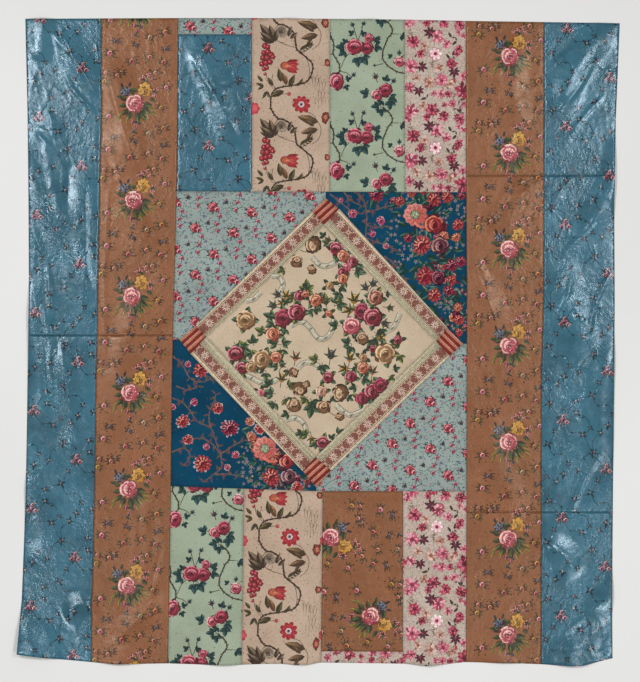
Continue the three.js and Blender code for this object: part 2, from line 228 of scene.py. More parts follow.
def inner_points(outline, pitch, seed):
    """Staggered points within an outline, a little uneven, clear of its rim."""
    low, high = outline.min(axis=0), outline.max(axis=0)
    draw = np.random.default_rng(seed)
    rows = int((high[1] - low[1]) / (pitch * 0.87)) + 1
    columns = int((high[0] - low[0]) / pitch) + 2
    grid = np.array([
        (low[0] + (column + 0.5 * (row % 2)) * pitch, low[1] + row * pitch * 0.87)
        for row in range(rows)
        for column in range(columns)
    ])
    grid += draw.uniform(-0.18, 0.18, grid.shape) * pitch
    grid = grid[inside(grid, outline)]
    gap, _ = rim_reading(grid, outline)
    return grid[gap > RIM_CLEARANCE * pitch]


def clear_of(points, others, gap):
    """Points that share no square of a coarse grid with the other points."""
    if len(others) == 0:
        return points
    taken = {tuple(cell) for cell in np.floor(np.asarray(others) / gap).astype(int).tolist()}
    free = [tuple(cell) not in taken for cell in np.floor(points / gap).astype(int).tolist()]
    return points[free]


def flat_size(corners):
    """Width, length and area of the smallest box, turned any way, round an outline."""
    best = None
    for angle in np.radians(np.arange(0, 90, 1.0)):
        axes = np.array([[math.cos(angle), math.sin(angle)], [-math.sin(angle), math.cos(angle)]])
        spread = np.ptp(corners @ axes.T, axis=0)
        if best is None or spread.prod() < best.prod():
            best = spread
    ahead = np.roll(corners, -1, axis=0)
    area = 0.5 * abs((corners[:, 0] * ahead[:, 1] - corners[:, 1] * ahead[:, 0]).sum())
    return sorted(float(side) for side in best), float(area)


# Drawing of the prints
SMALLEST_PART = 0.02 * SQUARE**2
LEAF_STEPS = {"large": (0.16, 0.45, 0.78), "middle": (0.26, 0.66), "small": (0.42,)}
LIGHT_FROM = 225


def winding(spots):
    """Twice the signed area of an outline. It is above nought when counter-clockwise."""
    total = 0.0
    for (a, b), (c, d) in zip(spots, spots[1:] + spots[:1]):
        total += a * d - c * b
    return total


def along(x, y, angle, distance):
    """Place at a distance along an angle in degrees, which runs clockwise from the right."""
    return x + distance * math.cos(math.radians(angle)), y + distance * math.sin(math.radians(angle))


def smooth(route, steps):
    """Points of a smooth curve through a route."""
    ends = [np.array(point, float) for point in route]
    if len(ends) == 2:
        return [ends[0] + (ends[1] - ends[0]) * k / steps for k in range(steps + 1)]
    padded = [2 * ends[0] - ends[1], *ends, 2 * ends[-1] - ends[-2]]
    curve = [ends[0]]
    for p0, p1, p2, p3 in zip(padded, padded[1:], padded[2:], padded[3:]):
        for k in range(1, steps + 1):
            t = k / steps
            curve.append(0.5 * (
                2 * p1
                + (p2 - p0) * t
                + (2 * p0 - 5 * p1 + 4 * p2 - p3) * t**2
                + (3 * p1 - p0 - 3 * p2 + p3) * t**3
            ))
    return curve


class Drawing:
    """Printed shapes over one patch, in chart squares. Later shapes lie over earlier ones."""

    def __init__(self, corners, seed):
        self.low = corners.min(axis=0)
        self.high = corners.max(axis=0)
        self.shapes = []
        self.draw = random.Random(seed)
        self.place(0, 0)

    def place(self, x, y, turn=0.0, slant=0.0):
        """Sets where the print's own origin lies, its turn in degrees and its sideways drift."""
        self.origin = (x, y)
        self.cosine = math.cos(math.radians(turn))
        self.sine = math.sin(math.radians(turn))
        self.slant = slant

    def to_cloth(self, u, v):
        """Place of the print in metres on the cloth."""
        across = u * self.cosine - v * self.sine
        down = u * self.sine + v * self.cosine
        x = self.origin[0] + across + self.slant * down
        y = self.origin[1] + down
        return (x - CHART_MIDDLE[0]) * SQUARE, (CHART_MIDDLE[1] - y) * SQUARE

    def near(self, u, v, reach):
        """Whether a place of the print is on the patch, or within reach of it in squares."""
        x, y = self.to_cloth(u, v)
        margin = reach * SQUARE
        across = self.low[0] - margin < x < self.high[0] + margin
        return across and self.low[1] - margin < y < self.high[1] + margin

    def add(self, points, colour, glow=None, heart=None, reach=1.0):
        """Adds a filled outline. A glow is a second colour that shows round its heart."""
        spots = [self.to_cloth(u, v) for u, v in points]
        columns, rows = zip(*spots)
        if max(columns) < self.low[0] or min(columns) > self.high[0]:
            return
        if max(rows) < self.low[1] or min(rows) > self.high[1]:
            return
        centre = self.to_cloth(*(heart or points[0]))
        parts = [spots]
        if len(spots) == 4:
            parts = [spots[:3], [spots[0], *spots[2:]]]
        for part in parts:
            area = winding(part)
            if abs(area) > SMALLEST_PART:
                part = part if area > 0 else part[::-1]
                self.shapes.append((part, colour, glow or colour, centre, reach * SQUARE))

    def oval(self, x, y, long, wide, angle, colour, glow=None, steps=9):
        """Oval with its long half axis at an angle in degrees."""
        a = math.radians(angle)
        points = []
        for k in range(steps):
            b = math.tau * k / steps
            u, v = long * math.cos(b), wide * math.sin(b)
            points.append((x + u * math.cos(a) - v * math.sin(a), y + u * math.sin(a) + v * math.cos(a)))
        self.add(points, colour, glow, (x, y), max(long, wide))

    def disc(self, x, y, radius, colour, glow=None, steps=6):
        """Round dot."""
        self.oval(x, y, radius, radius, 20, colour, glow, 4 if radius < 0.75 else min(steps, 6))

    def lobed(self, x, y, radius, petals, depth, turn, colour, glow=None, steps=4, squash=1.0, rough=0.0):
        """Flower outline with round petals, each a little longer or shorter when rough."""
        lengths = [1 + rough * self.draw.uniform(-1, 1) for _ in range(petals)]
        steps = min(steps, 2 if radius < 3.2 else 3 if radius < 6 else 4)
        points = []
        for k in range(petals * steps):
            a = math.tau * k / (petals * steps)
            swell = abs(math.cos(petals * a / 2)) ** 0.7
            r = radius * (1 - depth + depth * swell) * lengths[(k + steps // 2) // steps % petals]
            b = a + math.radians(turn)
            points.append((x + r * math.cos(b), y + r * math.sin(b) * squash))
        self.add(points, colour, glow, (x, y), radius)

    def crescent(self, x, y, r, thick, angle, span, colour, glow=None, squash=1.0, steps=5):
        """Curled petal: an arc round a centre that is thick in its middle and thin at its ends."""
        outer, inner = [], []
        if r < 4:
            steps = min(steps, 3)
        elif r < 7:
            steps = min(steps, 4)
        for k in range(steps + 1):
            share = k / steps
            a = math.radians(angle + (share - 0.5) * span)
            outer.append((x + r * math.cos(a), y + r * math.sin(a) * squash))
            if 0 < k < steps:
                q = r - thick * math.sin(math.pi * share) ** 0.8
                inner.append((x + q * math.cos(a), y + q * math.sin(a) * squash))
        self.add(outer + inner[::-1], colour, glow, (x, y), r)

    def ribbon(self, route, width, colour, taper=0.0, steps=5, knots=0.0):
        """Smooth line along a route, thinner towards its end by the taper, and knotty if asked."""
        spots = smooth(route, steps)
        count = len(spots)
        sides = []
        for k, spot in enumerate(spots):
            run = spots[min(count - 1, k + 1)] - spots[max(0, k - 1)]
            half = width / 2 * (1 - taper * k / (count - 1)) * (1 + knots * math.sin(2.4 * k))
            normal = np.array([-run[1], run[0]]) / max(np.hypot(*run), 1e-9) * half
            sides.append((spot + normal, spot - normal))
        for (a, b), (c, d) in zip(sides, sides[1:]):
            self.add([a, c, d, b], colour)

    def branch(self, route, width, colour, thorns=3):
        """Knotty stem with short thorns."""
        self.ribbon(route, width, colour, 0.1, 5, 0.25)
        spots = smooth(route, thorns)
        for k, (a, b) in enumerate(zip(spots, spots[1:])):
            heading = math.degrees(math.atan2(b[1] - a[1], b[0] - a[0]))
            side = 62 if k % 2 else -58
            self.leaf(*b, 2.6, heading + side, (colour, colour), 0.4)

    def leaf(self, x, y, length, angle, tones, width=0.5):
        """Pointed leaf from its stalk, with one side lighter than the other."""
        dark, light = tones
        cosine, sine = math.cos(math.radians(angle)), math.sin(math.radians(angle))
        steps = LEAF_STEPS["small" if length < 5 else "middle" if length < 9 else "large"]
        if width < 0.2:
            u, v = -sine * width * length / 2, cosine * width * length / 2
            self.add([(x + u, y + v), (x - u, y - v), along(x, y, angle, length)], dark)
            return

        def side(sign, share):
            rows = [(t, sign * share * width * length * math.sin(math.pi * t**0.8) / 2) for t in steps]
            return [
                (x + (t * length) * cosine - v * sine, y + (t * length) * sine + v * cosine)
                for t, v in rows
            ]

        tip = along(x, y, angle, length)
        self.add([(x, y), *side(1, 1), tip, *reversed(side(-1, 1))], dark)
        if length > 6.5:
            self.add([(x, y), *side(1, 0.78), tip], light, dark, (x, y), length * 0.7)
            if length > 11:
                rib = [along(x, y, angle, 0.1 * length), along(x, y, angle, 0.85 * length)]
                self.ribbon(rib, 0.35, dark, 0.5, 1)

    def sprig(self, x, y, size, angle, tones, width=0.58):
        """Three leaves from one stalk."""
        self.ribbon([(x, y), along(x, y, angle, size * 0.5)], 0.6, tones[0], 0, 1)
        node = along(x, y, angle, size * 0.3)
        self.leaf(*node, size * 0.82, angle - 54, tones, width * 1.15)
        self.leaf(*node, size * 0.74, angle + 60, tones, width * 1.2)
        self.leaf(*along(x, y, angle, size * 0.36), size * 0.95, angle + 6, tones, width * 1.15)

    def rose(self, x, y, r, tones, turn=0.0, squash=1.0):
        """Full rose: a ragged body, fanned petals with lit rims, a cup of folds and a dark heart."""
        deep, mid, light = tones
        dark = blend(deep, (0, 0, 0), 0.4)
        self.lobed(x, y, r * 1.04, 9, 0.2, turn, dark, None, 3, squash, 0.13)
        if r < 3.4:
            self.crescent(x, y, r * 0.86, r * 0.5, LIGHT_FROM, 200, light, mid, squash)
            self.crescent(x, y, r * 0.8, r * 0.5, LIGHT_FROM + 170, 150, mid, deep, squash)
            return
        count = 6 if r > 5 else 5
        for k in range(count):
            a = turn + 360 * k / count + self.draw.uniform(-14, 14)
            lit = 0.5 + 0.5 * math.cos(math.radians(a - LIGHT_FROM))
            u, v = along(0, 0, a, r * 0.5)
            size = r * self.draw.uniform(0.4, 0.5)
            body = blend(deep, mid, min(1, 0.25 + 0.9 * lit * self.draw.uniform(0.6, 1)))
            self.lobed(x + u, y + v * squash, size, 5, 0.18, a, body, blend(dark, body, 0.5), 2, squash)
            if lit > 0.25:
                rim = blend(mid, light, min(1, 0.35 + 0.8 * lit))
                self.crescent(x + u, y + v * squash, size * 1.02, size * 0.42, a, 150, rim, body, squash, 4)
        self.lobed(x, y, r * 0.55, 7, 0.14, turn + 20, blend(deep, mid, 0.3), dark, 3, squash)
        a = LIGHT_FROM + 50 * math.sin(turn)
        self.crescent(x, y, r * 0.56, r * 0.26, a, 170, light, mid, squash, 5)
        self.crescent(x, y, r * 0.52, r * 0.2, a + 165, 130, mid, deep, squash, 4)
        self.crescent(x, y, r * 0.3, r * 0.15, a + 25, 160, blend(mid, light, 0.6), mid, squash, 3)
        if r > 5.5:
            self.crescent(x, y, r * 0.98, r * 0.22, a - 10, 60, light, mid, squash, 3)
        self.oval(x, y, r * 0.13, r * 0.1, turn, dark, None, 6)

    def shaded_bloom(self, x, y, r, angle, squash=1.0):
        """Brown rose seen from one side, with a dark lip towards an angle and pale petals behind."""
        dark, brown, pale = tone("2e1b12"), tone("8a6244"), tone("d8bb9a")
        self.rose(x, y, r, (dark, brown, pale), angle + 180, squash)
        self.crescent(x, y, r * 0.98, r * 0.5, angle, 150, dark, brown, squash, 6)
        self.crescent(x, y, r * 0.6, r * 0.3, angle, 120, tone("5a3b28"), brown, squash, 4)
        u, v = along(x, y, angle + 180, r * 0.28)
        self.lobed(u, v, r * 0.42, 6, 0.2, angle, pale, brown, 3, squash)
        self.crescent(u, v, r * 0.4, r * 0.16, angle + 40, 120, brown, pale, squash, 3)

    def floret(self, x, y, r, colour, centre, petals=5, turn=0.0):
        """Open flower of a few petals round a dot."""
        self.lobed(x, y, r, petals, 0.5, turn, colour, None, 4)
        self.disc(x, y, r * 0.28, centre, None, 5)

    def moss_bud(self, x, y, r, angle, tones, green, spikes=5):
        """Bud in a ring of thin pointed sepals, on a short stalk."""
        self.ribbon([(x, y), along(x, y, angle + 180, 2.2 * r)], 0.7, green[0], 0, 2)
        self.oval(x, y, r, r * 0.74, angle, tones[0], tones[1], 8)
        self.crescent(x, y, r * 0.8, r * 0.4, angle - 30, 110, tones[2], tones[1])
        base = along(x, y, angle + 180, 0.5 * r)
        for k in range(spikes):
            side = 70 * (2 * k / (spikes - 1) - 1)
            self.leaf(*base, r * (2.4 - abs(side) / 90), angle + side, green, 0.24)

    def tulip(self, x, y, r, angle, tones):
        """Tulip in profile: a round base and three pointed petals."""
        deep, mid, light = tones
        base = along(x, y, angle + 180, 0.5 * r)
        for side, colour in ((-27, deep), (27, deep), (-10, mid), (12, mid)):
            self.leaf(*base, 1.75 * r, angle + side, (colour, mid), 0.5)
        self.oval(*along(x, y, angle + 180, 0.45 * r), r * 0.62, r * 0.5, angle, deep, light, 9)
        self.oval(*along(x, y, angle + 180, 0.42 * r), r * 0.4, r * 0.3, angle, light, None, 8)

    def feathered(self, x, y, r, tones, petals, turn=0.0):
        """Ragged bloom of pointed petals in mixed tones, with light flecks and a dark heart."""
        deep, mid, light = tones
        if r > 5:
            stroke = tone("85705e")
            for k in range(12):
                a = turn + 30 * k
                start = along(x, y, a, r * 0.8)
                self.leaf(*start, r * self.draw.uniform(0.5, 0.8), a, (stroke, stroke), 0.19)
        self.lobed(x, y, r * 0.82, petals, 0.3, turn, mid, deep, 3, 1.0, 0.2)
        for k in range(petals + 3):
            a = turn + 360 * (k + self.draw.uniform(-0.3, 0.3)) / (petals + 3)
            colour = self.draw.choice((deep, mid, mid, blend(mid, light, 0.6)))
            start = along(x, y, a, r * 0.25)
            self.leaf(*start, r * self.draw.uniform(0.65, 1.0), a, (colour, colour), 0.58)
        for k in range(petals - 1):
            a = turn + 360 * (k + 0.5) / (petals - 1)
            self.leaf(*along(x, y, a, r * 0.3), r * 0.5, a + 20, (light, light), 0.24)
        self.disc(x, y, r * 0.2, blend(deep, (0, 0, 0), 0.3), None, 5)


# Print tones: dark, middle and light
CRIMSON = inks("4a0c1e 8f2438 d08c92")
CORAL = inks("5e1a20 b23f3c e09a84")
ROSE_PINK = inks("8f3244 c76c74 ecc0b6")
SALMON = inks("7c3326 bb6e54 e6b795")
BUFF = inks("6e4c33 a67f58 dcc09a")
MAROON = inks("340c1c 5d182c 8f3c50")
MUSTARD = inks("6f4716 b07c2c dcb060")
THISTLE = inks("2b2226 5b4a50 8f7f84")
TEAL_GREEN = inks("10272c 37605a")
OLIVE = inks("2e2a1a 625a38")
GREY_GREEN = inks("244539 6b8f78")
UMBER = inks("30241d 7a6a55")
OLIVE_BUD = OLIVE + (OLIVE[1],)
DARK_ROSE = inks("4c0c20 86203a b85066")
CHINTZ_LEAF = inks("17332b 47695a")
CHINTZ_BERRY = inks("6e1c3c b04a60 e6b0b0")
CHINTZ_ANEMONE = inks("7a2028 b0544a d8a090")


def rayed(d, x, y, r, tones, petals=10, turn=0.0, edge="b09a96"):
    """Ragged open bloom with a pale broken edge, dark gaps, lit petal tips and a dark heart."""
    deep, mid, light = tones
    d.lobed(x, y, r * 1.07, petals + 2, 0.34, turn, tone(edge), None, 4, 1.0, 0.14)
    d.lobed(x, y, r, petals + 2, 0.32, turn, blend(deep, mid, 0.75), deep, 4, 1.0, 0.16)
    for k in range(petals):
        a = turn + 360 * (k + d.draw.uniform(-0.25, 0.25)) / petals
        lit = 0.5 + 0.5 * math.cos(math.radians(a - LIGHT_FROM))
        d.leaf(*along(x, y, a, r * 0.28), r * 0.66, a, (deep, deep), 0.2)
        tip = along(x, y, a + 180 / petals, r * 0.42)
        d.leaf(*tip, r * 0.46, a + 180 / petals, (blend(mid, light, lit), blend(mid, light, lit)), 0.4)
    d.lobed(x, y, r * 0.46, 7, 0.3, turn, deep, None, 3, 1.0, 0.12)
    d.crescent(x, y, r * 0.42, r * 0.22, LIGHT_FROM, 170, light, mid)
    d.crescent(x, y, r * 0.36, r * 0.16, LIGHT_FROM + 180, 120, mid, deep)


def thicket(d, route, spread, count):
    """Dense mass of dark leaves and small blooms along a route, under the main flowers."""
    spots = smooth(route, 8)
    greens = (inks("14302a 3f6353"), inks("1d3b33 6b8b76"), inks("3a1c22 6b3036"))
    for k in range(count):
        x, y = spots[d.draw.randrange(len(spots))]
        x += d.draw.uniform(-spread, spread)
        y += d.draw.uniform(-spread, spread)
        turn = d.draw.uniform(0, 360)
        if k < count * 0.62:
            d.leaf(x, y, d.draw.uniform(8, 13), turn, d.draw.choice(greens), 0.46)
        elif k % 2:
            star_spray(d, x, y, d.draw.uniform(5, 8), turn, tone("b0aca4"), tone("6d4a50"), 5)
        else:
            tones = d.draw.choice((CORAL, CRIMSON, SALMON, MAROON))
            d.rose(x, y, d.draw.uniform(3.4, 5.2), tones, turn)


def anemone(d, x, y, r, tones):
    """Large open bloom with ragged petals and a speckled grey-green eye."""
    deep, mid, light = tones
    d.lobed(x, y, r * 1.05, 11, 0.2, 8, tone("8f5650"), None, 4, 0.95, 0.1)
    d.lobed(x, y, r, 11, 0.18, 8, blend(deep, mid, 0.7), light, 4, 0.95, 0.12)
    for k in range(11):
        a = 8 + 360 * k / 11
        lit = 0.5 + 0.5 * math.cos(math.radians(a - LIGHT_FROM))
        petal = along(x, y, a + d.draw.uniform(-6, 6), r * 0.62)
        d.lobed(*petal, r * 0.34, 5, 0.2, a, blend(mid, light, lit * 0.9), mid, 3, 1.0, 0.15)
        d.leaf(*along(x, y, a + 16, r * 0.42), r * 0.5, a + 16, (deep, deep), 0.16)
    d.lobed(x, y, r * 0.44, 8, 0.16, 0, deep, None, 3)
    d.lobed(x, y, r * 0.38, 8, 0.16, 10, tone("7f8a6c"), None, 3)
    for k in range(9):
        spot = along(x, y, 40 * k, r * (0.16 + 0.14 * (k % 2)))
        d.disc(*spot, r * 0.055, tone("26302a") if k % 2 else tone("cfc8a4"), None, 5)


def star_spray(d, x, y, size, angle, flower, heart, count=7):
    """Loose cluster of tiny pale stars with thin green leaves between them."""
    for k in range(count):
        a = angle + 137.5 * k
        spot = along(x, y, a, size * 0.36 * math.sqrt(k))
        if k % 2 == 0:
            d.leaf(*spot, size * 0.6, a, GREY_GREEN, 0.3)
    for k in range(count):
        spot = along(x, y, angle + 137.5 * k, size * 0.36 * math.sqrt(k))
        d.lobed(*spot, size * 0.2, 5, 0.6, 31 * k, flower, heart, 2)


# Hatched strokes of the cream print, as place and length, and how much of it the tuck hides
CREAM_HATCHES = ((47, 62, 14), (54, 66, 12), (53, 76, 12), (50, 84, 9), (57, 84, 8))
TUCKED = 3.5


def repeats(d, columns, rows, lattice, reach):
    """Column, row and place of each repeat of a print that comes near the patch."""
    for column in columns:
        for row in rows:
            x, y = lattice(column, row)
            if d.near(x, y, reach):
                yield column, row, x, y


def dark_sprig(d, x, y, size, angle, dot, green):
    """Small dark sprig: crossed leaves with a pale dot over them."""
    for side in (0, 75, 160, 250):
        d.leaf(x, y, size * (1.0 if side % 2 else 0.8), angle + side, green, 0.42)
    d.disc(x, y, size * 0.2, tone("4c2230"), None, 5)
    d.disc(x - 0.3, y - 0.3, size * 0.13, dot, None, 5)


def print_blue(d):
    """Glazed blue: small dark-leaved clusters on a half-drop, joined by thin trailing stems."""
    stalk = tone("173442")
    red = inks("4c1626 8f3a4c c9989a")
    bright = inks("5c1c2c a85866 dcb8b4")
    cream, lilac, blush = tone("b5ac92"), tone("6d6880"), tone("b58688")
    green = inks("101f22 26443f")

    def lattice(column, row):
        return 43.4 * column, 97.8 * row + 48.9 * (column % 2)

    for _, row, x, y in repeats(d, range(-8, 9), range(-9, 10), lattice, 62):
        trails = (
            [(x, y), (x + 7, y + 12), (x + 20, y + 15), (x + 29, y + 33), (x + 43.4, y + 48.9)],
            [(x, y), (x - 8, y + 12), (x - 15, y + 24), (x - 31, y + 30), (x - 43.4, y + 48.9)],
            [(x + 20, y + 15), (x + 27, y + 8), (x + 22, y - 3), (x + 13, y - 7)],
            [(x - 15, y + 24), (x - 10, y + 34), (x + 1, y + 34), (x + 6, y + 44), (x + 1, y + 54)],
            [(x, y), (x - 2, y - 12), (x - 12, y - 17), (x - 14, y - 28), (x - 6, y - 36)],
            [(x + 29, y + 33), (x + 20, y + 38), (x + 16, y + 50)],
        )
        for trail in trails:
            d.ribbon(trail, 0.8, stalk, 0.3, 3)
            for k, spot in enumerate(smooth(trail, 1)[1:]):
                d.leaf(*spot, 4.0, 130 * k + 40, green, 0.4)
        for k in range(11):
            d.leaf(x, y, (8.5, 6, 7)[k % 3], 33 * k + 8, green, 0.32)
        for u, v, r, tones in (
            (0, 0, 3.5, red), (3.6, 2.4, 2.6, bright), (-3.4, 2.2, 2.4, red), (0.6, -3.6, 2.2, bright),
        ):
            d.rose(x + u, y + v, r, tones, 40 * row + 9 * u)
        for k in range(5):
            d.disc(*along(x, y, 72 * k + 20, 6.2), 0.55, blush if k % 2 else cream, None, 5)
        sprigs = (
            (20, 15, blush, 6.2), (13, -7, cream, 5.8), (-15, 24, lilac, 6.4), (1, 54, blush, 6),
            (-6, -36, cream, 5.6), (29, 33, cream, 6), (-31, 30, blush, 5.8), (6, 44, lilac, 4.8),
            (-12, -17, blush, 5.2), (27, 8, lilac, 4.6), (16, 50, cream, 5.4), (-8, 12, blush, 4.6),
        )
        for u, v, colour, size in sprigs:
            dark_sprig(d, x + u, y + v, size, 25 * u, colour, green)


def brown_sprig(d, x, y, size, angle, tones):
    """Outlined sprig on the brown ground: dark curling leaves round a small ragged rose."""
    dark, middle = tone("33211a"), tone("6b5a32")
    for side in (-32, 6, 38, 148, 186, 222):
        d.leaf(x, y, size * 0.9, 25 * math.sin(angle) + side, (dark, middle), 0.36)
    for side in (-48, 0, 48):
        tip = along(x, y, angle + side, size * 0.9)
        d.disc(*tip, 0.9, dark, None, 5)
    d.rose(x, y, size * 0.34, tones, angle)


def cluster(d, x, y, r, tones, count, turn=0.0):
    """Rounded head of many small florets with dark gaps."""
    d.lobed(x, y, r, 7, 0.2, turn, blend(tones[0], (0, 0, 0), 0.35), None, 3, 1.0, 0.12)
    for k in range(count):
        spot = along(x, y, turn + 137.5 * k, r * 0.86 * math.sqrt((k + 0.4) / count))
        lit = 0.5 + 0.5 * math.cos(math.radians(turn + 137.5 * k - LIGHT_FROM))
        body = blend(tones[1], tones[2], lit * 0.8)
        d.lobed(*spot, r * 0.25, 3, 0.3, 40 * k, body, tones[1], 2)


def print_brown(d):
    """Glazed brown: a rose bouquet in each repeat among outlined sprigs."""
    green = inks("14231a 3d6030")
    yellow = inks("4c4a1e 9c8a3c")
    slate = inks("161c28 414c62 94a0ac")
    dusty = inks("7a2c3c b5686c e0bab0")

    def lattice(column, row):
        return -80.0 * column, 96.4 * row + 37.0 * column

    for _, row, x, y in repeats(d, (-1, 0, 1), range(-8, 9), lattice, 92):
        for u, v, angle, size in (
            (-7, 2, 175, 9), (-8, -3, 205, 9), (-6, 6, 140, 10), (7, 1, 5, 11), (7, 4, 35, 11),
            (-3, 8, 115, 11), (2, 8, 80, 12), (5, 7, 55, 12), (-2, -8, 260, 9), (3, -12, 200, 8),
            (16, -10, -20, 9), (10, -20, -80, 8), (15, -6, 40, 8), (-10, -8, 230, 8), (-12, -6, 190, 7),
        ):
            d.leaf(x + u, y + v, size, angle, green, 0.56)
        for u, v, angle in (
            (9, 9, 45), (13, 4, 20), (7, 13, 70), (-10, 8, 140), (-13, 12, 120), (-6, 12, 105), (15, 8, 30),
        ):
            d.leaf(x + u, y + v, 9, angle, yellow, 0.34)
        cluster(d, x - 9.5, y - 11.5, 5.2, slate, 11, 20)
        d.leaf(x - 12, y - 15, 6, -110, (slate[0], slate[1]), 0.5)
        d.leaf(x - 6, y - 16, 6, -75, (slate[0], slate[1]), 0.5)
        for u, v, size in ((-2, 19, 2.8), (2, 24, 2.2), (-1, 28, 1.8), (5, 20, 1.8)):
            cluster(d, x + u, y + v, size, dusty if size > 2 else slate, 5, 30 * v)
            d.leaf(x + u, y + v, 5.5, 60 + 30 * u, green, 0.36)
        for u, v, size in (
            (17, -12, 3.6), (20, -8, 2.6), (8, -26, 3.2), (13, -29, 2.8), (4, -24, 2.2), (16, -24, 2.4),
            (22, -14, 2.2),
        ):
            d.leaf(x + u, y + v, 6.5, 15 * v, green, 0.3)
            cluster(d, x + u, y + v, size, inks("7c2c34 c07c70 e6c0ae"), 6, 20 * v)
        cluster(d, x + 9.5, y - 14, 7.4, MUSTARD, 22, 50)
        d.rose(x + 9.0, y - 12.5, 4.0, MUSTARD, 80)
        d.rose(x, y, 9.0, inks("8c2c40 c4646c ecc6bc"), 20 * row)
        for k in range(22):
            shade = tone("f2dcd2") if k % 2 else tone("8f3044")
            d.disc(*along(x, y, 137.5 * k, 1.0 + 0.34 * k), 0.5, shade, None, 5)
        for u, v, size, tones in (
            (29, 25, 9, inks("6a2418 b0562c dca860")), (-26, 46, 9, ROSE_PINK),
            (-4, 54, 8.5, CORAL), (14, 50, 7.5, SALMON), (28, 55, 8, CORAL), (-31, -22, 8, MUSTARD),
            (-26, 13, 8.5, ROSE_PINK), (-20, 34, 7, THISTLE), (14, 30, 7.5, BUFF), (-18, -28, 7, SALMON),
            (30, 42, 6.5, THISTLE), (20, 66, 7.5, SALMON), (31, -16, 7.5, ROSE_PINK), (26, 4, 6.5, MUSTARD),
            (-14, 66, 7, BUFF), (-30, 66, 6.5, SALMON), (0, 38, 6, THISTLE),
        ):
            brown_sprig(d, x + u, y + v, size, 13 * u + 7 * v, tones)


def print_teal(d):
    """Pale teal: small roses on a slanted lattice, thick with leaves and tiny sprigs."""
    red = inks("741a2c b83c4c e6a8a6")
    pink = inks("7e3044 b06070 d8a2a4")
    green = inks("16302e 3a6256")

    def lattice(column, row):
        return 38 * column, 5 * column + 47 * row

    for i, _, x, y in repeats(d, range(-9, 10), range(-9, 10), lattice, 44):
        for k, (u, v) in enumerate(((0.0, 0.0), (-18.0, 20.5))):
            a, b = x + u, y + v
            d.ribbon([(a, b), (a + 7, b + 8), (a + 4, b + 17), (a - 6, b + 23)], 0.6, green[0], 0.3, 4)
            d.ribbon([(a, b), (a - 8, b - 5), (a - 15, b - 2)], 0.5, green[0], 0.3, 3)
            for angle, size in (
                (205, 8.2), (165, 7.4), (35, 8), (325, 7.6), (90, 8), (265, 7.4), (295, 6.6), (125, 6.6),
            ):
                d.leaf(a, b, size, angle + 20 * k, green, 0.34)
            d.rose(a, b, 5.0, red, 50 * k + 20 * i)
            d.rose(a + 4.0, b + 2.4, 2.9, inks("741a2c cc6470 f0c6c0"), 10)
            for s, t, tones in ((7, 9, pink), (-15, -2, pink), (4, 17, pink), (13, -5, THISTLE)):
                for angle in (30, 150, 270):
                    d.leaf(a + s, b + t, 3.8, angle + 20 * s, green, 0.36)
                d.rose(a + s, b + t, 2.4, tones, 20 * t)
            d.floret(a - 9, b + 9, 2.0, tone("27305a"), tone("c8c2b0"), 5, 50)
            d.floret(a + 11, b + 14, 1.8, tone("27305a"), tone("c8c2b0"), 5, 10)


def print_cream_edge(d, x, y):
    """Right edge of the cream repeat: red rosettes and hatched strokes."""
    for u, v, r, squash in ((57, 9, 3.8, 1.5), (59, 49, 3.0, 1.3)):
        d.lobed(x + u, y + v, r * 1.1, 8, 0.3, 0, tone("4c2a1e"), None, 3, squash, 0.2)
        d.lobed(x + u, y + v, r * 0.86, 7, 0.3, 20, tone("7c2a26"), tone("9a4634"), 3, squash, 0.15)
        d.lobed(x + u, y + v, r * 0.4, 5, 0.3, 20, tone("b58868"), None, 2, squash)
        d.disc(x + u, y + v, r * 0.2, tone("4c1a1c"), None, 5)
    stroke = tone("6d5f4c")
    for u, v, length in CREAM_HATCHES:
        for k in range(7):
            spot = (x + u - 3.6 + 1.2 * k, y + v - 2 * math.sin(1.7 * k))
            d.leaf(*spot, length * (0.6 + 0.3 * math.cos(2.1 * k)), 84 + 3 * k, (stroke, stroke), 0.08)


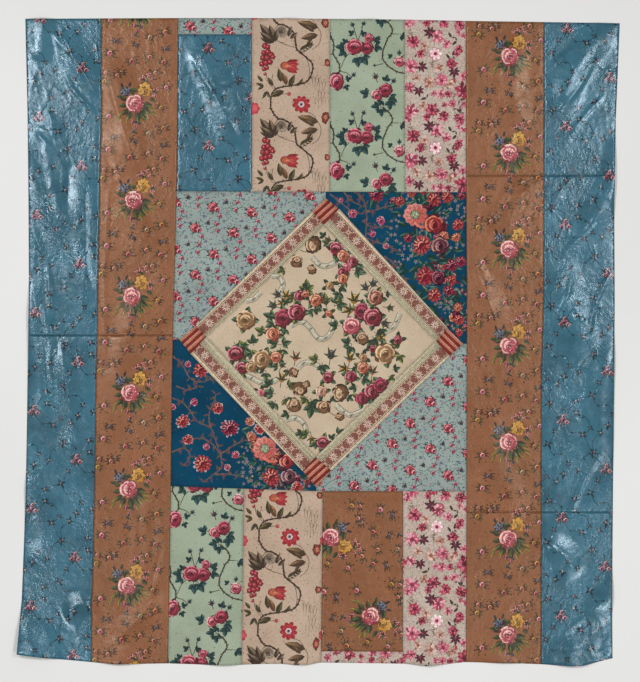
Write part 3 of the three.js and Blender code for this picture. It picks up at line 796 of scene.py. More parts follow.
def print_cream(d, tuck=0.0):
    """Cream: a winding dark stem with berries, tulips, carnations and sprays of leaves."""
    red = inks("560f1a 922634 e0a8a0")
    wood, vein = tone("33241d"), tone("5a4a3a")
    leaves = (
        (2, 28, -128, 18, UMBER), (2, 28, -104, 14, UMBER), (3, 28, -80, 11, UMBER), (1, 29, -158, 11, UMBER),
        (2, 29, -142, 14, UMBER), (16, 23, -70, 9, UMBER), (18, 25, -40, 8, UMBER), (9, 68, -100, 11, OLIVE),
        (15, 71, -112, 11, inks("4d3322 8f6440")), (17, 73, -65, 11, OLIVE), (24, 72, -35, 7, OLIVE),
        (27, 71, -60, 6, OLIVE), (12, 77, 158, 12, OLIVE), (-8, 72, 200, 7, OLIVE), (-8, 72, 150, 6, OLIVE),
        (-5, 77, 120, 7, inks("24281e 4b5240")), (-5, 77, 70, 6, OLIVE), (-9, 68, 230, 7, OLIVE),
        (1, 72, -120, 8, OLIVE), (46, 14, 196, 17, inks("3c2c20 8b6b48")),
        (46, 21, 168, 14, inks("3c2c20 8b6b48")), (42, 18, 220, 8, inks("3c2c20 7a5c3e")),
        (40, 24, 130, 7, inks("3c2c20 7a5c3e")),
    )

    def lattice(column, row):
        return 84 * column, 94.4 * row

    for _, _, x, y in repeats(d, (-1, 0, 1), range(-7, 8), lattice, 118):
        main = [
            (-1.4, -0.4), (2.2, 6), (6.3, 10.2), (13.4, 12), (21.7, 19), (23.4, 26.7), (25.2, 36),
            (34.6, 43.8), (40.5, 50.3), (40, 58.5), (35.8, 66.8), (27.6, 70.3), (12.2, 72.7), (4, 75),
            (-0.8, 82), (-1.4, 94),
        ]
        thin = (
            [(34.6, 43.8), (36.4, 50), (37.6, 58), (35.8, 66.8)], [(45, 12), (49, 20), (47, 30), (40, 36)],
            [(-6, 58), (-4, 68), (1.6, 75)], [(1, 60), (0, 68), (4, 75)], [(25, 36), (31, 38), (40, 33)],
            [(7, 28), (14, 31), (24, 34)], [(28, 96), (40, 100), (46, 108)], [(4, 75), (9, 80), (18, 79)],
            [(6.3, 10.2), (2, 18), (6, 27), (12, 29)],
        )
        for route in thin:
            d.ribbon([(x + u, y + v) for u, v in route], 0.75, vein, 0.2, 4)
        d.branch([(x + u, y + v) for u, v in main], 1.75, wood, 2)
        for u, v, angle, size, tones in leaves:
            d.leaf(x + u, y + v, size * 1.28, angle, tones, 0.42)
        d.oval(x + 9.9, y + 18, 6.2, 5.2, 60, tone("6f6152"), None)
        for k in range(7):
            d.leaf(*along(x + 8.5, y + 21, 240 + 14 * k, 0.5), 8.4, 250 + 15 * k, (wood, wood), 0.13)
        for k in range(3):
            d.crescent(x + 9.9, y + 18, 5.4 - 1.4 * k, 0.5, 60, 250, tone("b3a28a"), None)
        for k in range(5):
            d.leaf(x + 28 + 2.6 * k, y + 37 - 1.2 * k, 7.5 - 0.5 * k, -50 - 4 * k, OLIVE, 0.4)
            d.leaf(x + 28 + 2.6 * k, y + 37 - 1.2 * k, 4.5, 50 - 20 * k, OLIVE, 0.4)
        for u, v, size in (
            (-7, 32, 3.4), (-4, 33, 3.0), (-8, 39, 3.2), (-4, 38, 3.4), (-1, 41, 3.6), (-9, 44, 3.2),
            (-5, 44, 3.6), (1, 43, 3.0), (-10, 50, 3.2), (-6, 49, 3.4), (-2, 48, 3.2), (-8, 55, 2.8),
            (-5, 54, 2.6), (-7, 60, 2.0),
        ):
            d.lobed(x + u, y + v, size, 5, 0.25, 10 * v, red[0], None, 3)
            d.lobed(x + u - 0.3, y + v - 0.3, size * 0.72, 5, 0.25, 10 * v, red[1], None, 2)
            d.disc(x + u - 0.7, y + v - 0.6, 0.5, red[2], None, 5)
        d.tulip(x + 17, y + 52, 8.4, 4, inks("6e141c 982830 a8583c"))
        for side in (-14, 0, 14):
            d.leaf(x + 14, y + 52, 10, 4 + side, inks("cc7a5c cc7a5c"), 0.07)
        d.lobed(x + 29.3, y + 90.4, 9.6, 9, 0.26, 12, tone("8c1c2a"), None, 4, 1.0, 0.1)
        d.lobed(x + 29.3, y + 90.4, 7.0, 8, 0.26, 30, tone("b03440"), tone("7c1624"), 4, 1.0, 0.1)
        d.lobed(x + 29.3, y + 90.4, 3.2, 6, 0.2, 0, tone("d9c6bc"), tone("8a7a80"), 4)
        d.disc(x + 29.3, y + 90.4, 1.3, tone("2c2230"), None, 6)
        d.lobed(x - 18.5, y + 94.5, 6.4, 7, 0.15, 0, tone("a02c3a"), tone("c9545a"), 4)
        d.disc(x + 17, y + 80, 2.2, tone("8a2c30"), tone("b85c50"), 7)
        print_cream_edge(d, x - tuck, y)


def print_cream_head(d):
    """Cream of the head row, where a pressed tuck beside the mint patch hides a little of it."""
    print_cream(d, TUCKED)


def print_mint(d):
    """Mint: crimson roses and mossy buds on dark thorny branches."""
    wood = tone("35281f")
    rose = inks("64102a a82a44 dc98a0")
    leaves = TEAL_GREEN
    branches = (
        [(-24.4, -12.2), (-20.8, -2.8), (-21.4, 6.7), (-17.3, 13.7), (-14.9, 19.6), (-15.5, 26)],
        [
            (28, -29), (35.8, -21.7), (37.6, -14.6), (33.4, -8.7), (28.7, 3), (28.1, 11.4), (32.9, 18.5),
            (41.7, 24.4), (52, 27),
        ],
    )
    twigs = (
        [(-5.6, 6.7), (-10, 12), (-13.6, 20.8)], [(-21, 6), (-28, 9)], [(37.4, -13), (44, -13)],
        [(28.7, 16.7), (21, 18.5)], [(26, 50), (26, 58), (28, 61)], [(3, -6), (1, -13), (-1, -20)],
        [(3, -6), (6, -13), (8, -21)], [(-16, 24), (-8, 26), (-3, 30)],
    )
    sprigs = (
        (-8, 0, 178, 9), (-8, 3, 140, 8), (-7, -3, 222, 6), (2, 8, 78, 10), (6, 8, 52, 10), (18, 0, 8, 8),
        (19, -3, -55, 8), (0, -12, -150, 6), (5, -12, -20, 6), (-10, 37, 60, 6), (-10, 33, -20, 6),
        (16, 47, 190, 9), (33, 49, 30, 9), (35, 52, 85, 9), (28, 52, 120, 7), (26, 58, 165, 8),
        (26, 60, 80, 8), (45, -13, 30, 8), (38, 11, 215, 5), (31, 36, -80, 7),
    )
    buds = (
        (-2, -22, 2.2, -115, THISTLE), (9, -23, 2.2, -62, THISTLE), (24, -8, 2.0, -88, THISTLE),
        (-1, 28, 2.2, -48, THISTLE), (21, 30, 2.8, -108, CRIMSON), (39, 34, 2.4, -52, THISTLE),
        (44.7, 6, 2.2, -88, THISTLE), (20, 18.6, 1.4, 175, OLIVE_BUD),
    )

    def lattice(column, row):
        return 76 * column, 89 * row

    for _, _, x, y in repeats(d, (-1, 0, 1), range(-7, 8), lattice, 92):
        for route in twigs:
            d.ribbon([(x + u, y + v) for u, v in route], 0.8, wood, 0.2, 3)
        for route in branches:
            d.branch([(x + u, y + v) for u, v in route], 1.5, wood, 2)
        for u, v, angle, size in sprigs:
            d.sprig(x + u, y + v, size, angle, leaves)
        for u, v, r, angle, tones in buds:
            d.moss_bud(x + u, y + v, r, angle, tones, leaves)
        d.rose(x + 14, y - 8.7, 4.8, inks("7a1c34 bb4a5c dc98a0"), 40)
        d.rose(x + 12.2, y + 1.5, 7.0, inks("5c0e26 981f3a c46478"), 70)
        d.rose(x, y, 9.2, rose, 20, 0.88)
        d.rose(x - 17.9, y + 35, 7.4, rose, 0, 1.25)
        d.rose(x + 22.2, y + 48, 5.8, inks("7a1c34 bb4a5c eab8b8"), 0)
        d.rose(x + 31.1, y + 43.4, 7.0, inks("5c0e26 981f3a c46478"), 40)
        d.rose(x + 44.7, y + 15, 5.8, inks("7a1c34 c05a6c eec2c0"), 20)


def print_pink(d):
    """Off-white: pink and maroon leaf-shaped flowers over a fine vermicelli."""
    pink = inks("8a3046 b8586c e0b0b4")
    crimson = inks("64122a 962842 cf7c8a")
    tan = inks("8a5a48 b5887a dcc0b4")
    blooms = (
        (8.0, 4.6, 7.2, pink, 7), (-15.5, 10, 6.8, crimson, 7), (-18, 34.5, 7.8, pink, 7),
        (22.9, 32, 5.6, crimson, 6), (1, 50.5, 6.2, tan, 7), (13, 48.6, 6.4, pink, 6),
        (-19, 55.6, 5.4, pink, 6), (34.4, 59, 8.6, crimson, 7), (3.4, 78, 6.8, crimson, 7),
        (-18, 79.7, 7.6, pink, 7), (30, 17, 4.6, crimson, 6), (31.5, -7, 5.4, crimson, 7),
        (15.4, 83.8, 5.2, crimson, 6), (30.4, 86.2, 5.4, crimson, 7), (20, 62, 4.0, crimson, 5),
        (-2, -9, 4.2, crimson, 5), (16, 73, 3.2, crimson, 5), (12, -7, 3.4, pink, 5),
        (-22, -8, 5.0, pink, 6),
    )
    maple = ((0, 0, 7.6, 200), (-5.8, 35, 6.8, 20), (-9.8, 59.7, 6.8, 80), (25.5, 41, 7.2, 90))
    seeds = (
        (22.9, 5.6), (28, 9), (24, 24), (8, 51), (21, 27), (-2, 66), (28, 76.6), (32, 80), (10, 92),
        (-12, 22), (18, 54), (31, 68),
    )

    def lattice(column, row):
        return 66 * column, 94 * row

    for _, _, x, y in repeats(d, (-1, 0, 1), range(-7, 8), lattice, 108):
        for u, v in seeds:
            a = 37 * u + 20 * v
            d.leaf(x + u, y + v, 6.4, a, inks("33261f 6d6a50"), 0.46)
            d.leaf(x + u, y + v, 4.4, a + 120, inks("4c3a34 7a6a5c"), 0.46)
            tones = (crimson, pink, tan)[int(u) % 3]
            d.feathered(x + u + 7, y + v - 5, 3.4, tones, 5, a)
        for k in range(46):
            u, v, a = (k * 29.3) % 66 - 25, (k * 41.9) % 94 - 12, 137.5 * k
            stroke = tone(("8a7464", "6d5648", "96606a")[k % 3])
            for side in (-30, 0, 30):
                d.leaf(x + u, y + v, 5.4, a + side, (stroke, stroke), 0.12)
        for u, v, size, tones, petals in blooms:
            d.feathered(x + u, y + v, size, tones, petals, 37 * u + 11 * v)
        for u, v, size, angle in maple:
            base = along(x + u, y + v, angle, -size * 0.3)
            for side in (-130, -88, -44, 0, 44, 88, 130):
                length = size * (1.15 - abs(side) / 340)
                d.leaf(*base, length, angle + side, (MAROON[0], MAROON[1]), 0.42)
                d.leaf(*base, length * 0.8, angle + side, (MAROON[2], MAROON[2]), 0.08)
        d.feathered(x + 22.9, y + 32, 4.6, crimson, 6, 10)
        for u, v, size, tones in (
            (-8, 22, 4.8, crimson), (10, 36, 4.8, tan), (-6, 74, 4.8, tan), (18, 12, 4.8, pink),
            (22, 52, 4.8, tan), (12, 62, 4.8, pink), (-12, 46, 4.8, tan), (34, 44, 4.8, pink),
            (-4, 14, 4.8, tan), (24, 72, 4.8, pink),
        ):
            d.feathered(x + u, y + v, size, tones, 6, 17 * u)
        d.lobed(x + 6.8, y + 21.8, 7.0, 7, 0.38, 0, tone("b07080"), None, 4, 1.0, 0.1)
        d.lobed(x + 6.8, y + 21.8, 6.2, 7, 0.4, 0, tone("eadfd6"), tone("dca0aa"), 4, 1.0, 0.1)
        d.lobed(x + 6.8, y + 21.8, 2.2, 5, 0.3, 0, tone("7c1c38"), None, 4)


def chintz_trails(d, routes):
    """Thin coral-brown trails with narrow leaves, for the deep blue chintz."""
    vine = tone("6d5348")
    for route in routes:
        d.ribbon(route, 1.3, vine, 0.35, 5, 0.2)
        for k, spot in enumerate(smooth(route, 3)[1:]):
            shade = inks("57483c 87705c") if k % 2 else inks("5c3f48 8a5a5c")
            d.leaf(*spot, 6.4, 70 * k + 20, shade, 0.34)
            if k % 3 == 2:
                d.leaf(*spot, 5.2, 70 * k + 150, shade, 0.34)


# Middle lines of the two bouquets
CHINTZ_SPINES = {
    "head": [(405, 186), (422, 204), (436, 222), (428, 246), (430, 270), (442, 288), (452, 310), (458, 336)],
    "foot": [(254, 428), (262, 448), (272, 466), (288, 480), (300, 494)],
}


def print_chintz_head(d):
    """Deep blue chintz of the head corner: a full bouquet beside thin trails."""
    thicket(d, CHINTZ_SPINES["head"], 17, 140)
    chintz_trails(d, [
        [(330, 194), (341, 203), (350, 210), (360, 214)],
        [(352, 190), (362, 198), (366, 210), (366.5, 224), (366, 238), (372, 250)],
        [(367, 212), (376, 210), (388, 206), (396, 208)],
        [(366, 224), (374, 228), (384, 226)],
        [(366, 238), (376, 242), (388, 246), (398, 252)],
        [(344, 192), (350, 200), (362, 206)],
        [(384, 256), (396, 266), (404, 278), (414, 292)],
    ])
    for x, y, r in (
        (352.8, 213.6, 4.2), (380.8, 220.7, 4.2), (372.7, 234, 3.4), (341, 200, 2.6), (386, 246, 3.0),
    ):
        rayed(d, x, y, r, CHINTZ_BERRY, 7, 20 * x)
    for x, y, angle, size in (
        (421, 202, -70, 13), (425, 206, -110, 12), (432, 214, -40, 13), (440, 214, -10, 12),
        (416, 240, -90, 12), (412, 234, 170, 13), (408, 226, 200, 12), (426, 256, 20, 14),
        (428, 262, 60, 13), (436, 262, 0, 13), (440, 256, -30, 13), (420, 266, 150, 13),
        (404, 262, 120, 14), (408, 270, 160, 13), (414, 284, 110, 13), (424, 290, 130, 13),
        (430, 304, 60, 13), (440, 300, 30, 12), (436, 310, 90, 13), (446, 300, -30, 11), (446, 236, 20, 12),
        (458, 236, 60, 11), (452, 250, 0, 12), (444, 288, 10, 12), (456, 300, 80, 11), (448, 316, 100, 11),
        (402, 214, 190, 11), (398, 204, 160, 10), (462, 276, 60, 11), (432, 186, -90, 12),
        (446, 208, -60, 11), (452, 196, 20, 11), (390, 196, 200, 10),
    ):
        d.leaf(x, y, size, angle, CHINTZ_LEAF, 0.5)
    for x, y, size in (
        (458, 206, 11), (391, 235, 11), (411, 256, 12), (457, 244, 10), (446, 301, 11), (452, 326, 9),
        (404, 246, 8), (462, 290, 9), (443, 218, 8), (396, 220, 9), (408, 196, 9), (464, 216, 8),
        (399, 262, 8),
    ):
        star_spray(d, x, y, size, 7 * x, tone("b5b0a6"), tone("7c5a5c"), 5)
    for x, y, r, tones, petals in (
        (376.2, 194.7, 7.4, CRIMSON, 10), (433.9, 199.3, 6.8, CORAL, 8), (447, 197.2, 5.8, CORAL, 8),
        (457.9, 224.8, 5.8, CORAL, 8), (399.7, 201.3, 4.8, CORAL, 8), (451.7, 265.6, 6.2, CRIMSON, 9),
        (460.5, 261.5, 5.4, CRIMSON, 9), (450.7, 281, 5.2, CORAL, 7), (448.7, 291, 5.2, CRIMSON, 7),
        (434.4, 295.2, 6.8, CORAL, 8), (457.9, 307.4, 4.4, SALMON, 7), (458.9, 319.7, 5.2, CORAL, 8),
        (412, 190, 5.6, CORAL, 8), (388, 188, 4.6, CRIMSON, 8), (424, 190, 4.8, CORAL, 7),
        (459, 332, 3.8, CORAL, 7), (456, 237, 4.6, SALMON, 7), (444, 236, 5.0, SALMON, 8),
        (408, 238, 4.4, CRIMSON, 7), (461, 196, 4.0, CRIMSON, 7),
    ):
        d.leaf(x, y, r * 2.1, 7 * x, CHINTZ_LEAF, 0.5)
        rayed(d, x, y, r, tones, petals, 5 * y, "6b3436")
    rayed(d, 421.6, 245.2, 9.6, CORAL, 12, 10, "7c4a46")
    d.rose(440, 246.2, 9.0, inks("3c1822 7a4048 b58a80"), 30)
    rayed(d, 425.2, 276.8, 9.4, inks("64141e 9c2c34 c87060"), 9, 0, "7c4a46")
    d.rose(438.5, 277.9, 7.4, inks("3c1420 702838 a86870"), 0)
    d.rose(434.4, 224.8, 10.0, inks("641820 a83c34 cf8468"), 200)
    anemone(d, 415, 214.6, 11.8, CHINTZ_ANEMONE)
    d.crescent(423, 222, 9.0, 4.0, 120, 130, tone("dc8c78"), tone("b23f3c"), 0.7)


def print_chintz_foot(d):
    """Deep blue chintz of the foot corner: the bouquet low down and trails above it."""
    chintz_trails(d, [
        [(172, 398), (182, 402), (191, 412), (198, 422), (211, 428), (216, 442), (220.5, 454)],
        [(220.5, 454), (221.6, 467), (214, 474), (204, 482)],
        [(220.5, 454), (210, 442), (196, 438), (184, 444)],
        [(220.5, 454), (233, 446), (244, 440)],
        [(211, 428), (209, 414), (214, 402), (216, 394)],
        [(172, 356), (182, 364), (190, 378), (202, 382), (212, 378)],
        [(172, 452), (184, 448), (190, 456), (184, 466)],
        [(214, 474), (228, 474), (238, 476)],
        [(176, 386), (188, 390), (198, 386)],
    ])
    thicket(d, CHINTZ_SPINES["foot"], 13, 70)
    for x, y, r in (
        (194.2, 402, 3.8), (206.3, 446.8, 3.2), (235.3, 454.7, 3.8), (227.4, 467.4, 3.2), (173, 407, 3.0),
        (188, 364, 3.2),
    ):
        rayed(d, x, y, r, CHINTZ_BERRY, 7, 20 * x)
    for x, y, r, tones, petals in (
        (200.5, 370, 7.2, CORAL, 8), (217.9, 407.9, 5.6, CORAL, 7), (182.6, 421.6, 6.6, CORAL, 8),
        (230, 427.9, 8.4, CRIMSON, 12), (187.9, 439.5, 4.8, CORAL, 7), (202.6, 463.7, 8.4, CORAL, 10),
        (250, 421.6, 4.6, SALMON, 7),
    ):
        rayed(d, x, y, r, tones, petals, 5 * y)
    for x, y, angle, size in (
        (258, 446, 190, 13), (276, 444, -20, 12), (270, 462, 90, 14), (266, 466, 150, 13),
        (278, 470, 200, 13), (258, 462, 160, 13), (294, 466, -30, 12), (262, 480, 150, 13),
        (284, 484, 20, 12), (300, 478, -10, 12), (250, 440, 230, 12), (262, 436, -60, 12),
        (254, 474, 120, 12), (248, 456, 170, 11), (280, 450, 40, 12), (298, 486, 20, 11),
        (270, 486, 160, 11),
    ):
        d.leaf(x, y, size, angle, CHINTZ_LEAF, 0.5)
    for x, y, size in (
        (251, 467, 13), (259, 484, 12), (243, 462, 8), (247, 478, 9), (276, 489, 9), (304, 484, 9),
        (246, 448, 8),
    ):
        star_spray(d, x, y, size, 7 * x, tone("b5b0a6"), tone("7c5a5c"), 5)
    rayed(d, 251, 436.3, 4.8, SALMON, 7, 0)
    rayed(d, 259.5, 429, 5.4, CORAL, 7, 30)
    rayed(d, 297, 487, 5.4, CORAL, 8, 30)
    d.rose(286.8, 461.6, 7.8, CORAL, 200)
    rayed(d, 271, 477.4, 8.6, CORAL, 11, 10, "7c4a46")
    d.rose(289, 476.3, 8.4, inks("3c2028 7c5054 b89490"), 30)
    anemone(d, 264.7, 448.5, 12.2, CHINTZ_ANEMONE)
    d.crescent(272, 456, 9.5, 4.0, 110, 130, tone("dc8c78"), tone("b23f3c"), 0.7)


def band(d, route, width):
    """Printed ribbon with dark edges, a light middle and shaded turns."""
    d.ribbon(route, width, tone("5f5046"), 0, 6)
    d.ribbon(route, width * 0.84, tone("a09b87"), 0, 6)
    d.ribbon([(x - 0.14 * width, y - 0.18 * width) for x, y in route], width * 0.3, tone("bab49f"), 0, 6)
    for x, y in route[1:-1]:
        d.leaf(x - 0.45 * width, y + 0.3 * width, width, -38, inks("5f6455 7a7c6a"), 0.3)
        d.leaf(x - 0.3 * width, y + 0.42 * width, width * 0.8, -30, inks("7c4a4c 7c4a4c"), 0.12)


CENTRE_GREENS = (
    inks("182d22 4f7050"), inks("1d3326 6a8560"), inks("2c3a20 8a8a4c"),
)


def print_centre(d):
    """Centre panel: crimson, buff and brown roses among dark leaves and grey-green ribbons."""
    for route in (
        [(291, 326), (298, 322), (305, 323), (311, 329), (318, 338), (326, 338), (332, 330), (334, 320)],
        [(298, 368), (304, 363), (312, 363), (320, 367), (325, 375)],
        [(241, 374), (252, 378), (262, 383), (272, 382), (278, 379)],
        [(312, 257), (320, 265), (328, 266), (337, 262), (346, 262)],
        [(272, 276), (279, 277), (283, 284), (280, 293)],
        [(246, 301), (254, 299), (261, 292)],
        [(336, 405), (344, 412), (352, 415), (364, 410)],
        [(286, 420), (296, 418), (304, 424), (307, 434)],
        [(384, 332), (393, 328), (397, 321), (400, 313)],
    ):
        band(d, route, 5.6)
    for x, y, angle, size in (
        (276, 318, 195, 9), (276, 322, 150, 8), (286, 327, 110, 7), (266, 333, 200, 8), (280, 345, 200, 9),
        (280, 345, -20, 8), (280, 347, 80, 9), (272, 388, 230, 9), (276, 394, 190, 9), (276, 400, 120, 9),
        (284, 396, 60, 9), (286, 388, -30, 8), (310, 398, 60, 10), (312, 402, 95, 11), (308, 396, 130, 8),
        (322, 362, 80, 9), (320, 360, 190, 8), (360, 378, 20, 8), (358, 386, 160, 7), (362, 376, -60, 7),
        (352, 270, 10, 10), (356, 272, -50, 8), (340, 290, 110, 8), (338, 286, 30, 7), (334, 306, -10, 9),
        (334, 306, -70, 8), (326, 306, -100, 9), (308, 294, -100, 10), (308, 308, 60, 7), (312, 310, 0, 7),
        (352, 344, 200, 8), (352, 344, 110, 8), (354, 342, -60, 8), (372, 336, 60, 9), (374, 332, 20, 8),
        (374, 340, 130, 7), (340, 326, 190, 8), (384, 292, 10, 7), (368, 306, -60, 7), (246, 350, 230, 8),
        (254, 346, -100, 8), (254, 352, 160, 8), (248, 360, 190, 7), (266, 371, 90, 7), (266, 371, 200, 6),
        (280, 366, 180, 7), (288, 368, 100, 6), (234, 342, 60, 9), (240, 346, 30, 8), (354, 364, 60, 7),
        (336, 436, -40, 8), (330, 441, -60, 6), (296, 300, 200, 8), (288, 306, 230, 7), (318, 442, 150, 7),
        (330, 244, 200, 6), (326, 238, -140, 6), (286, 268, 150, 7), (400, 346, 200, 7), (398, 354, 60, 7),
        (370, 390, -80, 6), (346, 384, 130, 7), (346, 396, 30, 6), (330, 396, 40, 6), (290, 412, 150, 7),
        (304, 290, -60, 6), (240, 372, 40, 6), (388, 376, 30, 6), (392, 370, -20, 6), (310, 436, 200, 8),
        (304, 432, 160, 7), (380, 328, 60, 7), (344, 300, 170, 6),
    ):
        d.sprig(x, y, size * 1.2, angle, CENTRE_GREENS[int(x + y) % 3], 0.52)
    for x, y, r, angle, tones in (
        (277.4, 294.5, 4.0, 220, THISTLE), (273, 305.5, 4.4, 200, THISTLE), (365.4, 287.2, 4.0, 240, THISTLE),
        (373.4, 283.5, 4.0, -60, THISTLE), (385.2, 323.8, 4.4, 20, THISTLE), (331, 354.6, 5.2, -80, THISTLE),
        (282.5, 365, 3.2, -60, OLIVE_BUD), (325.8, 301.8, 3.6, -100, OLIVE_BUD),
        (286.2, 295.2, 4.0, -95, MUSTARD), (281, 303, 3.2, 190, MUSTARD), (354.4, 299, 5.4, -80, MUSTARD),
        (348.5, 310, 5.0, 190, MUSTARD), (381.5, 337.8, 4.0, 0, MUSTARD), (281.8, 378, 4.6, -80, MUSTARD),
        (350, 357.6, 4.6, -80, MUSTARD), (344, 368.6, 4.6, 180, MUSTARD), (311.8, 439.7, 3.8, 80, MUSTARD),
        (295.7, 356.8, 4.4, -80, SALMON), (372.7, 370.8, 4.4, -80, SALMON), (390, 308, 3.4, 10, OLIVE_BUD),
        (328, 240, 3.4, 190, OLIVE_BUD),
    ):
        d.moss_bud(x, y, r, angle, tones, inks("1c2a1e 4c5c40"), 4)
    blooms = (
        (299.4, 296, 5.4, CRIMSON), (305, 294, 3.8, SALMON), (315.5, 300.4, 6.2, SALMON),
        (283.3, 318, 8.8, DARK_ROSE), (296.5, 312, 8.4, CRIMSON), (336, 249, 7.0, CRIMSON),
        (343.5, 256, 5.8, SALMON), (353, 261.5, 5.2, CRIMSON), (347, 267, 4.6, ROSE_PINK),
        (342.6, 272.5, 5.4, CRIMSON), (342.6, 279, 5.2, SALMON), (329.4, 285.7, 4.2, BUFF),
        (361.7, 311, 7.6, DARK_ROSE), (372.7, 317.2, 9.2, CRIMSON), (351.4, 326, 8.4, ROSE_PINK),
        (375.6, 297.5, 7.6, inks("5c2a22 a05c50 dcb49c")), (372.7, 348.8, 3.8, CRIMSON),
        (385.2, 353.9, 10.0, BUFF), (245.5, 320, 9.4, BUFF), (273, 334, 6.8, SALMON),
        (235.4, 354, 8.0, CRIMSON), (242, 368, 6.0, CRIMSON), (262, 359, 9.0, BUFF),
        (276, 357.6, 5.6, SALMON), (251, 367, 5.4, BUFF), (328.7, 313.6, 3.6, SALMON),
        (321.4, 391.3, 5.4, inks("8c5a4c c49a84 e6ccb4")), (328, 377.4, 5.6, CRIMSON),
        (350.7, 376.6, 5.8, CRIMSON), (363, 367.8, 5.8, SALMON), (363, 357.6, 4.4, BUFF),
        (362.4, 398.6, 6.4, DARK_ROSE), (372, 391.3, 7.4, CRIMSON), (380.8, 385.4, 7.0, DARK_ROSE),
        (322.8, 442.6, 6.2, CRIMSON), (260.5, 392.7, 3.8, ROSE_PINK), (398, 340, 4.6, CRIMSON),
    )
    for x, y, r, tones in blooms:
        for k in range(4):
            a = 90 * k + 7 * x
            d.leaf(*along(x, y, a, r * 0.6), r * 0.5 + 4.2, a + 12 * (-1) ** k, CENTRE_GREENS[k % 3], 0.74)
    for x, y, r, tones in blooms:
        d.rose(x, y, r * 1.06, tones, 5 * x + 3 * y)
    d.ribbon([(323.6, 407), (332, 414), (339.7, 417)], 0.8, tone("5a4030"), 0, 3)
    d.ribbon([(300, 250), (306, 252), (313, 250)], 0.8, tone("5a4030"), 0, 3)
    for x, y, r, angle, squash in (
        (313.3, 245, 7.6, -80, 1.2), (296.5, 261.5, 6.8, 110, 0.95), (311.8, 269.6, 4.8, 60, 1.0),
        (362.4, 338.5, 6.6, 60, 0.95), (293.5, 372.2, 5.4, 200, 1.0), (299.4, 389, 7.6, -120, 1.0),
        (294.3, 405.2, 8.2, 90, 0.9), (323.6, 406.7, 7.6, 100, 0.95), (340.4, 392.8, 8.2, -60, 1.15),
        (339.7, 417, 4.8, 30, 0.9), (307, 384, 3.6, -60, 1.0),
    ):
        d.shaded_bloom(x, y, r, angle, squash)


def strip_frame(corners):
    """Middle of a long narrow patch in chart squares, its heading, length and width."""
    size = len(corners)
    runs = np.roll(corners, -1, axis=0) - corners
    headings = np.arctan2(runs[:, 1], runs[:, 0])
    turns = [abs((headings[k] - headings[k - 1] + math.pi) % math.tau - math.pi) for k in range(size)]
    sharp = sorted(np.argsort(turns)[-4:])
    a, b, c, d = (corners[k] for k in sharp)
    if np.hypot(*(b - a)) < np.hypot(*(c - b)):
        a, b, c, d = b, c, d, a
    start, end = (a + d) / 2, (b + c) / 2
    run = end - start
    length = np.hypot(*run) / SQUARE
    width = (np.hypot(*(d - a)) + np.hypot(*(c - b))) / 2 / SQUARE
    middle = (start + end) / 2
    chart = (middle[0] / SQUARE + CHART_MIDDLE[0], CHART_MIDDLE[1] - middle[1] / SQUARE)
    return chart, math.degrees(math.atan2(-run[1], run[0])), length, width


def print_border(d, corners):
    """Border: rosettes and stars in turn on a red-brown band, between rails and a lined edge."""
    chart, heading, length, width = strip_frame(corners)
    aside, down = chart[0] - MEDALLION_MIDDLE[0], chart[1] - MEDALLION_MIDDLE[1]
    outwards = aside * math.sin(math.radians(heading)) - down * math.cos(math.radians(heading))
    d.place(chart[0], chart[1], heading if outwards > 0 else heading + 180)
    half = length / 2 + 2

    def rail(near, far, colour):
        d.add([(-half, near), (half, near), (half, far), (-half, far)], colour)

    top = -width / 2
    cream, brown, rust = tone("cdb99c"), tone("6b4038"), tone("8d5a4a")
    rail(top, top + 2.4, cream)
    rail(top + 2.4, top + 3.1, brown)
    rail(top + 3.1, top + 3.7, tone("d8c6aa"))
    rail(top + 3.7, top + 12.9, tone("75453c"))
    rail(top + 12.9, top + 13.4, tone("d8c6aa"))
    rail(top + 13.4, top + 14.0, brown)
    rail(top + 14.0, width / 2, tone("b5ab8e"))
    for k in range(3):
        rail(top + 15.0 + 1.3 * k, top + 15.35 + 1.3 * k, tone("6d6a55"))
    middle = top + 8.3
    count = 7
    spacing = length / count
    for k in range(count):
        x = -length / 2 + spacing * (k + 0.5)
        star = x + spacing / 2
        for step in range(6):
            u = x - spacing / 2 + spacing * step / 6
            d.disc(u, top + 4.5, 0.42, tone("d8c6aa"), None, 5)
            d.disc(u, top + 12.1, 0.42, tone("d8c6aa"), None, 5)
        for petal in range(10):
            d.leaf(x, middle, 4.4, 36 * petal, inks("bfa694 bfa694"), 0.34)
            d.disc(*along(x, middle, 36 * petal, 3.7), 0.7, tone("c9b3a0"), None, 5)
        d.disc(x, middle, 1.5, tone("7a4a40"), None, 7)
        d.disc(x, middle, 0.7, tone("cdb8a4"), None, 5)
        for petal in range(4):
            d.leaf(star, middle, 4.2, 45 + 90 * petal, inks("b0917f b0917f"), 0.4)
            d.leaf(star, middle, 3.0, 90 * petal, inks("c2a896 c2a896"), 0.3)
        d.disc(star, middle, 0.9, brown, None, 6)
        for corner in (-1, 1):
            for level in (-3.4, 3.4):
                d.disc(star + 3.4 * corner, middle + level, 0.8, tone("b0917f"), None, 5)


def print_block(d, corners, slope):
    """Striped corner block: red-brown and salmon stripes that slope one way."""
    middle = corners.mean(axis=0)
    d.place(middle[0] / SQUARE + CHART_MIDDLE[0], CHART_MIDDLE[1] - middle[1] / SQUARE, slope)
    reach = 17
    widths = (2.6, 0.6, 2.2, 0.5)
    colours = inks("7a2b24 d2a48c b4735e 4f1b1a")
    top = -reach
    while top < reach:
        for width, colour in zip(widths, colours):
            d.add([(-reach, top), (reach, top), (reach, top + width), (-reach, top + width)], colour)
            top += width


